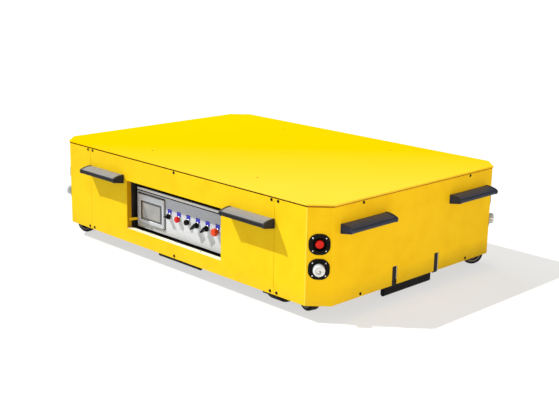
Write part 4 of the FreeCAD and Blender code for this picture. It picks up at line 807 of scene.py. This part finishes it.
def add_piece(name, bm, materials, body="chassis", place=None):
    """Makes the mesh an object that rides on a body."""
    mesh = bpy.data.meshes.new(name)
    bmesh.ops.recalc_face_normals(bm, faces=bm.faces)
    bm.to_mesh(mesh)
    bm.free()
    for polygon in mesh.polygons:
        polygon.use_smooth = True
    mesh.set_sharp_from_angle(angle=SHARP_ANGLE)
    for material in materials:
        mesh.materials.append(material)
    piece = bpy.data.objects.new(name, mesh)
    bpy.context.scene.collection.objects.link(piece)
    if place is not None:
        piece.matrix_world = place
    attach(piece, body)
    return piece


# Fasteners

SCREW_SOCKET_FLOOR = 0.35
# shares of the head's radius and height, from its foot to the socket
SCREW_DOME = ((1.0, 0.0), (1.0, 0.25), (0.92, 0.55), (0.74, 0.85), (0.55, 1.0))
# shares of the bolt head's and the washer's own sizes
WASHER_SHARE = 0.25
WASHER_SIDE = 0.7
WASHER_CROWN = 0.95
HEX_CROWN = 0.94
HEX_FLATS = 0.85


def button_screw(bm, place, head, height, socket):
    """Domed head with a hexagon socket, standing on local z = 0."""
    inside = hexagon(socket)
    rings = [(head * reach, height * rise) for reach, rise in SCREW_DOME]
    rings += [(inside, height), (inside, height * SCREW_SOCKET_FLOOR)]
    ring_stack(bm, rings, place)


def hex_bolt(bm, place, across, height, washer):
    """Washer and hexagon head with a broken upper edge, standing on local z = 0."""
    flats = hexagon(across / 2)
    crown = hexagon(across / 2 * HEX_CROWN)
    seat = height * WASHER_SHARE
    ring_stack(bm, [
        (washer, 0.0), (washer, seat * WASHER_SIDE), (washer * WASHER_CROWN, seat),
        (flats, seat), (flats, seat + height * HEX_FLATS), (crown, seat + height)], place)


SKIRT_SCREW = {"head": 0.0064, "height": 0.0033, "socket": 0.0024}
SEAM_REACH = 0.640
SCREW_FROM_SEAM = 0.019
SCREW_ROWS = (DECK_TOP - 0.0195, DECK_TOP - 0.405)
END_SCREW_Y = 0.362


def side_screw_places(sign_y, yaw):
    """Two rows on a long side: at the middle and on both sides of each seam."""
    columns = [0.0]
    for side in SIDES:
        for offset in (-SCREW_FROM_SEAM, SCREW_FROM_SEAM):
            columns.append(side * (SEAM_REACH + offset))
    return [on_face(x, sign_y * SKIRT_Y, z, yaw) for x in columns for z in SCREW_ROWS]


def end_screw_places(sign_x, yaw):
    """Two rows on an end, near its cut corners."""
    return [on_face(sign_x * SKIRT_X, side * END_SCREW_Y, z, yaw) for side in SIDES for z in SCREW_ROWS]


def make_skirt_screws():
    """The screws that hold the skirt, one piece for each side and end."""
    panels = (
        ("control_side_screws", side_screw_places(-1, CONTROL_YAW)),
        ("plain_side_screws", side_screw_places(1, PLAIN_YAW)),
        ("front_end_screws", end_screw_places(1, FRONT_YAW)),
        ("rear_end_screws", end_screw_places(-1, REAR_YAW)),
    )
    for name, places in panels:
        bm = bmesh.new()
        for place in places:
            button_screw(bm, place, **SKIRT_SCREW)
        add_piece(name, bm, [DARK_SCREW])


BEZEL_SCREW = {"head": 0.0036, "height": 0.0022, "socket": 0.0013}
BEZEL_SCREW_REACH = 0.0262
BEZEL_DEPTH = 0.004
STOP_HEIGHT = 0.324


def make_bezel_screws():
    """Four screws on each stop's and each lamp's bezel."""
    for name, sign_x, sign_y, yaw in CORNERS:
        bm = bmesh.new()
        for height in (STOP_HEIGHT, LAMP_HEIGHT):
            face = corner_place(sign_x, sign_y, height, yaw)
            for side in SIDES:
                for rise in SIDES:
                    spot = Vector((side * BEZEL_SCREW_REACH, rise * BEZEL_SCREW_REACH, BEZEL_DEPTH))
                    button_screw(bm, face @ Matrix.Translation(spot), **BEZEL_SCREW)
        add_piece("bezel_screws_" + name, bm, [BRIGHT_SCREW])


# Control panel fittings

COLLAR_RADIUS = 0.0145
CONTROL_COUNT = 6
LABEL_WIDTH = 0.027
LABEL_HEIGHT = 0.020
LABEL_CORNER = 0.0018
LABEL_RISE = 0.022
LABEL_THICKNESS = 0.0012
# height of a line above the label's middle, and its share of the label's width
LABEL_LINES = ((0.0042, 0.8), (-0.0042, 0.66))
LINE_HEIGHT = 0.0014
LINE_CORNER = 0.0006
LINE_THICKNESS = 0.0003
LINE_EDGE = 0.0001
LINE_SLOT = 1


def control_places():
    """Middle of each control on the panel's front."""
    first = collar_low.x + COLLAR_RADIUS
    last = collar_high.x - COLLAR_RADIUS
    height = (collar_low.z + collar_high.z) / 2
    for number in range(CONTROL_COUNT):
        x = first + (last - first) * number / (CONTROL_COUNT - 1)
        yield on_face(x, PANEL_FRONT, height, CONTROL_YAW)


def make_labels():
    """Blue plates above the controls, each with two lighter lines."""
    line_top = LABEL_THICKNESS + LINE_THICKNESS
    bm = bmesh.new()
    for place in control_places():
        middle = place @ Matrix.Translation((0, LABEL_RISE, 0))
        plate(bm, LABEL_WIDTH, LABEL_HEIGHT, LABEL_CORNER, 0.0, LABEL_THICKNESS, BROKEN_EDGE, middle)
        for rise, share in LABEL_LINES:
            bar = middle @ Matrix.Translation((0, rise, 0))
            plate(
                bm, LABEL_WIDTH * share, LINE_HEIGHT, LINE_CORNER, LABEL_THICKNESS, line_top, LINE_EDGE,
                bar, LINE_SLOT)
    add_piece("label_plates", bm, [LABEL_BLUE, LABEL_LINE])


# the gasket's rim is partly a painted shadow line around the screen frame
GASKET_RIM = 0.0034
GASKET_DEPTH = 0.0016
FRAME_DROP = 0.015
FRAME_CORNER = 0.003
FRAME_EDGE = 0.002
FRAME_LIP = 0.0025
GLASS_GAP = 0.0004
CENTRED = (0.0, 0.0)


def make_screen_frame():
    """Moulded frame with a bevelled opening around the screen, on a black rubber gasket whose dark rim also
    stands in for the frame's shadow line, a painted shade.
    """
    low = screen_frame_low
    high = screen_frame_high - Vector((0, 0, FRAME_DROP))
    middle = (low + high) / 2
    width = high.x - low.x
    height = high.z - low.z
    depth = PANEL_FRONT - low.y
    glass = (screen_low + screen_high) / 2
    shift = (glass.x - middle.x, glass.z - middle.z)
    open_width = screen_high.x - screen_low.x + GLASS_GAP
    open_height = screen_high.z - screen_low.z + GLASS_GAP
    place = on_face(middle.x, PANEL_FRONT, middle.z, CONTROL_YAW)
    bm = bmesh.new()
    ring_frame(bm, (
        (width, height, FRAME_CORNER, 0.0, *CENTRED),
        (width, height, FRAME_CORNER, depth - FRAME_EDGE, *CENTRED),
        (width - 2 * FRAME_EDGE, height - 2 * FRAME_EDGE, FRAME_CORNER / 2, depth, *CENTRED),
        (open_width + 2 * FRAME_LIP, open_height + 2 * FRAME_LIP, FRAME_CORNER / 2, depth, *shift),
        (open_width, open_height, FRAME_CORNER / 4, depth - FRAME_LIP, *shift),
        (open_width, open_height, FRAME_CORNER / 4, 0.0, *shift)), place)
    piece = add_piece("screen_bezel", bm, [SCREEN_FRAME])
    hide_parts("hmi_frame")
    bm = bmesh.new()
    outer = (width + 2 * GASKET_RIM, height + 2 * GASKET_RIM, FRAME_CORNER + GASKET_RIM)
    inner = (width, height, FRAME_CORNER)
    ring_frame(bm, (
        (*inner, 0.0, *CENTRED), (*outer, 0.0, *CENTRED),
        (*outer, GASKET_DEPTH, *CENTRED), (*inner, GASKET_DEPTH, *CENTRED)), place)
    add_piece("screen_gasket", bm, [GASKET_AND_SHADE])


HEM_LOW = 0.1378
HEM_GAP = 0.0001
HEM_SHEET = 0.0028
HEM_CORNER = 0.0008


def make_panel_hem():
    """A strip that carries the panel's lower edge down to the sill."""
    width = panel_high.x - panel_low.x
    height = PANEL_BOTTOM - HEM_GAP - HEM_LOW
    middle_x = (panel_low.x + panel_high.x) / 2
    place = on_face(middle_x, PANEL_FRONT, HEM_LOW + height / 2, CONTROL_YAW)
    bm = bmesh.new()
    plate(bm, width, height, HEM_CORNER, -HEM_SHEET, 0.0, BROKEN_EDGE, place)
    add_piece("panel_hem", bm, [SILVER_PANEL])


# Control window: a pale strip on its lower fold, a painted highlight where light falls on the fold, a small
# pad behind it and a tab on the left fold

WINDOW_LEFT = -0.353
WINDOW_RIGHT = 0.316
WINDOW_BOTTOM = 0.135
SILL_DEPTH = 0.0255
SILL_SETBACK = 0.0008
SILL_PLAY = 0.002
SILL_CORNER = 0.001
SILL_THICKNESS = 0.0012
SILL_TOP = WINDOW_BOTTOM + SILL_THICKNESS
SILL_SCREWS = (-0.160, 0.167)
SILL_SCREW = {"head": 0.0028, "height": 0.0014, "socket": 0.001}


def make_sill():
    """The pale strip, a painted highlight on the lower fold, and its two screws."""
    bm = bmesh.new()
    middle_x = (WINDOW_LEFT + WINDOW_RIGHT) / 2
    middle_y = -SKIRT_Y + SILL_DEPTH / 2 + SILL_SETBACK
    place = on_level(middle_x, middle_y, WINDOW_BOTTOM)
    width = WINDOW_RIGHT - WINDOW_LEFT - SILL_PLAY
    plate(bm, width, SILL_DEPTH, SILL_CORNER, 0.0, SILL_THICKNESS, BROKEN_EDGE, place)
    add_piece("window_sill_highlight", bm, [SILL_HIGHLIGHT])
    bm = bmesh.new()
    for x in SILL_SCREWS:
        button_screw(bm, on_level(x, middle_y, SILL_TOP), **SILL_SCREW)
    add_piece("sill_screws", bm, [DARK_SCREW])


PAD_SIZE = (0.093, 0.0075)
PAD_PLACE = (0.0235, -0.5888)
PAD_CORNER = 0.0015
PAD_THICKNESS = 0.0009


def make_sill_pad():
    """A thin grey strip at the back of the sill."""
    bm = bmesh.new()
    plate(bm, *PAD_SIZE, PAD_CORNER, 0.0, PAD_THICKNESS, BROKEN_EDGE, on_level(*PAD_PLACE, SILL_TOP))
    add_piece("sill_pad", bm, [ZINC])


TAB_LEFT = -0.3528
TAB_RIGHT = -0.3405
TAB_LOW = 0.168
TAB_HIGH = 0.181
TAB_HOLD = 0.012
TAB_LAND = 0.006
TAB_BEND = 0.0012
TAB_SHEET = 0.0015


def make_jamb_tab():
    """A bent strip from the left jamb's fold to the edge of the control panel."""
    fold_end = -SKIRT_Y + SILL_DEPTH
    landing = PANEL_FRONT - TAB_BEND
    corners = (
        (TAB_LEFT, fold_end - TAB_HOLD), (TAB_LEFT, fold_end),
        (TAB_RIGHT, landing), (TAB_RIGHT + TAB_LAND, landing))
    bm = bmesh.new()
    rows = []
    for shift in (0.0, TAB_SHEET):
        for z in (TAB_LOW, TAB_HIGH):
            rows.append([bm.verts.new((x + shift, y, z)) for x, y in corners])
    near_low, near_high, far_low, far_high = rows
    walls = ((near_low, near_high), (far_high, far_low), (near_high, far_high), (far_low, near_low))
    for lower, upper in walls:
        for step in range(len(corners) - 1):
            bm.faces.new((lower[step], lower[step + 1], upper[step + 1], upper[step]))
    bm.faces.new((near_low[0], near_high[0], far_high[0], far_low[0]))
    bm.faces.new((near_low[-1], far_low[-1], far_high[-1], near_high[-1]))
    add_piece("jamb_tab", bm, [COAT])


# Caster bolts

CASTER_PLATE = (0.104, 0.086)
CASTER_PLATE_SHEET = 0.008
CASTER_BOLT_INSET = 0.0105
CASTER_BOLT = {"across": 0.013, "height": 0.0053, "washer": 0.008}


def make_caster_bolts():
    """Four bolts under the top plate of each caster."""
    length, width = CASTER_PLATE
    underside = caster_plates_high.z - CASTER_PLATE_SHEET
    bm = bmesh.new()
    for side_x in SIDES:
        for side_y in SIDES:
            middle_x = side_x * (caster_plates_high.x - length / 2)
            middle_y = side_y * (caster_plates_high.y - width / 2)
            for end in SIDES:
                for edge in SIDES:
                    x = middle_x + end * (length / 2 - CASTER_BOLT_INSET)
                    y = middle_y + edge * (width / 2 - CASTER_BOLT_INSET)
                    hex_bolt(bm, on_level(x, y, underside, True), **CASTER_BOLT)
    add_piece("caster_plate_bolts", bm, [ZINC])


# Deck gap shade: dark amber strips in the gap between the end shells and the deck, a painted shade of the
# yellow sheet in the gap

DECK_SHEET = 0.006
STRIP_GAP = 0.0001
# depths behind the skirt's outer face
STRIP_FRONT = 0.0010
STRIP_BACK = 0.0025


def make_deck_gap_shades():
    """One piece for each end: a strip along it and one on each of its cut corners, in a painted shade."""
    low = SKIRT_TOP + STRIP_GAP
    high = DECK_TOP - DECK_SHEET - STRIP_GAP
    middle = (low + high) / 2
    trim = 2 * math.tan(HALF_BEND) * STRIP_BACK
    end_length = 2 * (SKIRT_Y - SKIRT_CORNER) - trim
    corner_length = SKIRT_CORNER * math.sqrt(2) - trim
    for name, sign, yaw in (("front", 1, FRONT_YAW), ("rear", -1, REAR_YAW)):
        runs = [(end_length, on_face(sign * SKIRT_X, 0, middle, yaw))]
        for _, sign_x, sign_y, corner_yaw in CORNERS:
            if sign_x == sign:
                runs.append((corner_length, corner_place(sign_x, sign_y, middle, corner_yaw)))
        bm = bmesh.new()
        for length, place in runs:
            plate(bm, length, high - low, 2 * BROKEN_EDGE, -STRIP_BACK, -STRIP_FRONT, BROKEN_EDGE, place)
        add_piece("deck_gap_shade_" + name, bm, [GAP_SHADE_AMBER])


# Deck inserts

FIXTURE_X = 0.364
FIXTURE_Y = 0.445
FIXTURE_HOLE = 0.0051
INSERT_PLAY = 0.0001
INSERT_WALL = 0.0008
INSERT_SINK = 0.0004
INSERT_EDGE = 0.0002
THREAD_PITCH = 0.0015
THREAD_DEPTH = 0.0005
THREAD_STOP = 0.002


def make_deck_inserts():
    """Threaded sleeves in the deck's four fixture holes."""
    bm = bmesh.new()
    outer = FIXTURE_HOLE - INSERT_PLAY
    inner = outer - INSERT_WALL
    level = DECK_TOP - INSERT_SINK
    rings = [(outer, BOSS_BOTTOM), (outer, level - INSERT_EDGE), (outer - INSERT_EDGE, level)]
    while level > BOSS_BOTTOM + THREAD_STOP:
        rings.append((inner, level))
        rings.append((inner - THREAD_DEPTH, level - THREAD_PITCH / 2))
        level -= THREAD_PITCH
    for side_x in SIDES:
        for side_y in SIDES:
            ring_stack(bm, rings, on_level(side_x * FIXTURE_X, side_y * FIXTURE_Y, 0.0))
    add_piece("deck_inserts", bm, [DARK_SCREW])


# Lamps

LENS_FLOOR = 0.0015
LENS_REACH = 0.031
LENS_SEGMENTS = 48
# share of the radius, and depth below the lens's highest point
LENS_DOME = (
    (1.0, 0.0100), (0.985, 0.0072), (0.94, 0.0045), (0.87, 0.0024), (0.78, 0.0010), (0.70, 0.0002),
    (0.66, 0.0), (0.62, 0.0008), (0.50, 0.0004), (0.46, 0.0012), (0.30, 0.0008), (0.26, 0.0016),
    (0.08, 0.0012))


def make_lenses():
    """Turned lens with a stepped dome, one at each cut corner."""
    rings = [(LENS_RADIUS, LENS_FLOOR)]
    rings += [(LENS_RADIUS * share, LENS_REACH - depth) for share, depth in LENS_DOME]
    for name, sign_x, sign_y, yaw in CORNERS:
        bm = bmesh.new()
        ring_stack(bm, rings, Matrix.Identity(4), LENS_SEGMENTS)
        place = corner_place(sign_x, sign_y, LAMP_HEIGHT, yaw)
        piece = add_piece("lamp_lens_" + name, bm, [LENS], place=place)
        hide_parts("lamp_lenses")


# Light, floor and camera

KEY_TO_LIGHT = Vector((-0.497, -0.407, 0.766))
KEY_STRENGTH = 3.75
KEY_TINT = (1.0, 0.985, 0.94)
KEY_ANGLE = math.radians(0.55)
FILL_PLACE = Vector((5.4, -1.75, 0.8))
FILL_POWER = 102.0
FILL_SIZE = (3.0, 1.4)
FILL_TINT = (1.0, 0.66, 0.38)
SOFTBOX_PLACE = Vector((-4.28, 1.67, 3.85))
SOFTBOX_POWER = 110.0
SOFTBOX_SIZE = (4.0, 2.0)
SOFTBOX_TINT = (1.0, 1.0, 1.0)
SKY_STRENGTH = 0.34
SKY_TINT = colour(0.93, 0.98, 1.0)
FLOOR_REACH = 300.0
FLOOR_GLOW = 0.62
FLOOR_TONES = (grey(0.35), grey(0.37))

CAMERA_PLACE = Vector((3.460, -3.385, 1.491))
CAMERA_AZIMUTH = math.radians(45.199)
CAMERA_ELEVATION = math.radians(14.508)
CAMERA_ROLL = math.radians(1.070)
IMAGE_WIDTH = 559
FOCAL_PIXELS = 1025.02
SENSOR_WIDTH = 36.0


def make_floor():
    """A wide pale floor that glows a little, so that the ground looks white."""
    finish = Finish("pale_floor", {
        SPECULAR: 0.0, "Roughness": 0.9, "Emission Color": grey(1.0), "Emission Strength": FLOOR_GLOW})
    tone = finish.mix(finish.cloud(scale=0.8, detail=2.0), *FLOOR_TONES)
    finish.feed(finish.shader.inputs["Base Color"], tone)
    bm = bmesh.new()
    signs = ((-1, -1), (1, -1), (1, 1), (-1, 1))
    bm.faces.new([bm.verts.new((x * FLOOR_REACH, y * FLOOR_REACH, 0)) for x, y in signs])
    mesh = bpy.data.meshes.new("floor")
    bm.to_mesh(mesh)
    bm.free()
    mesh.materials.append(finish.material)
    floor = bpy.data.objects.new("floor", mesh)
    bpy.context.scene.collection.objects.link(floor)


def add_light(name, kind, toward, energy, tint):
    """A light that shines along the line from toward to the middle of the vehicle."""
    light = bpy.data.lights.new(name, kind)
    light.energy = energy
    light.color = tint
    lamp = bpy.data.objects.new(name, light)
    lamp.rotation_mode = "QUATERNION"
    lamp.rotation_quaternion = toward.to_track_quat("Z", "Y")
    bpy.context.scene.collection.objects.link(lamp)
    return lamp


def add_panel_light(name, place, power, size, tint):
    """A flat light that looks at the middle of the vehicle."""
    lamp = add_light(name, "AREA", place, power, tint)
    lamp.location = place
    lamp.data.shape = "RECTANGLE"
    lamp.data.size, lamp.data.size_y = size


def make_lights():
    """Sun, two flat lights and an even sky."""
    key = add_light("key", "SUN", KEY_TO_LIGHT, KEY_STRENGTH, KEY_TINT)
    key.data.angle = KEY_ANGLE
    add_panel_light("fill", FILL_PLACE, FILL_POWER, FILL_SIZE, FILL_TINT)
    add_panel_light("softbox", SOFTBOX_PLACE, SOFTBOX_POWER, SOFTBOX_SIZE, SOFTBOX_TINT)
    world = bpy.data.worlds.new("studio")
    world.use_nodes = True
    background = world.node_tree.nodes["Background"]
    background.inputs["Color"].default_value = SKY_TINT
    background.inputs["Strength"].default_value = SKY_STRENGTH
    bpy.context.scene.world = world


def make_camera():
    """The photograph's camera, with its roll and focal length."""
    level = math.cos(CAMERA_ELEVATION)
    back = Vector((
        math.sin(CAMERA_AZIMUTH) * level, -math.cos(CAMERA_AZIMUTH) * level, math.sin(CAMERA_ELEVATION)))
    right = (-back).cross(Vector((0, 0, 1))).normalized()
    up = right.cross(-back)
    turned_right = right * math.cos(CAMERA_ROLL) + up * math.sin(CAMERA_ROLL)
    turned_up = up * math.cos(CAMERA_ROLL) - right * math.sin(CAMERA_ROLL)
    data = bpy.data.cameras.new("camera")
    data.sensor_width = SENSOR_WIDTH
    data.lens = FOCAL_PIXELS * SENSOR_WIDTH / IMAGE_WIDTH
    camera = bpy.data.objects.new("camera", data)
    place = Matrix((turned_right, turned_up, back)).transposed().to_4x4()
    place.translation = CAMERA_PLACE
    camera.matrix_world = place
    bpy.context.scene.collection.objects.link(camera)
    bpy.context.scene.camera = camera
    bpy.context.scene.view_settings.view_transform = "Standard"


dress_nodes()
make_skirt_screws()
make_bezel_screws()
make_labels()
make_screen_frame()
make_panel_hem()
make_sill()
make_sill_pad()
make_jamb_tab()
make_caster_bolts()
make_deck_gap_shades()
make_deck_inserts()
make_lenses()
make_floor()
make_lights()
make_camera()
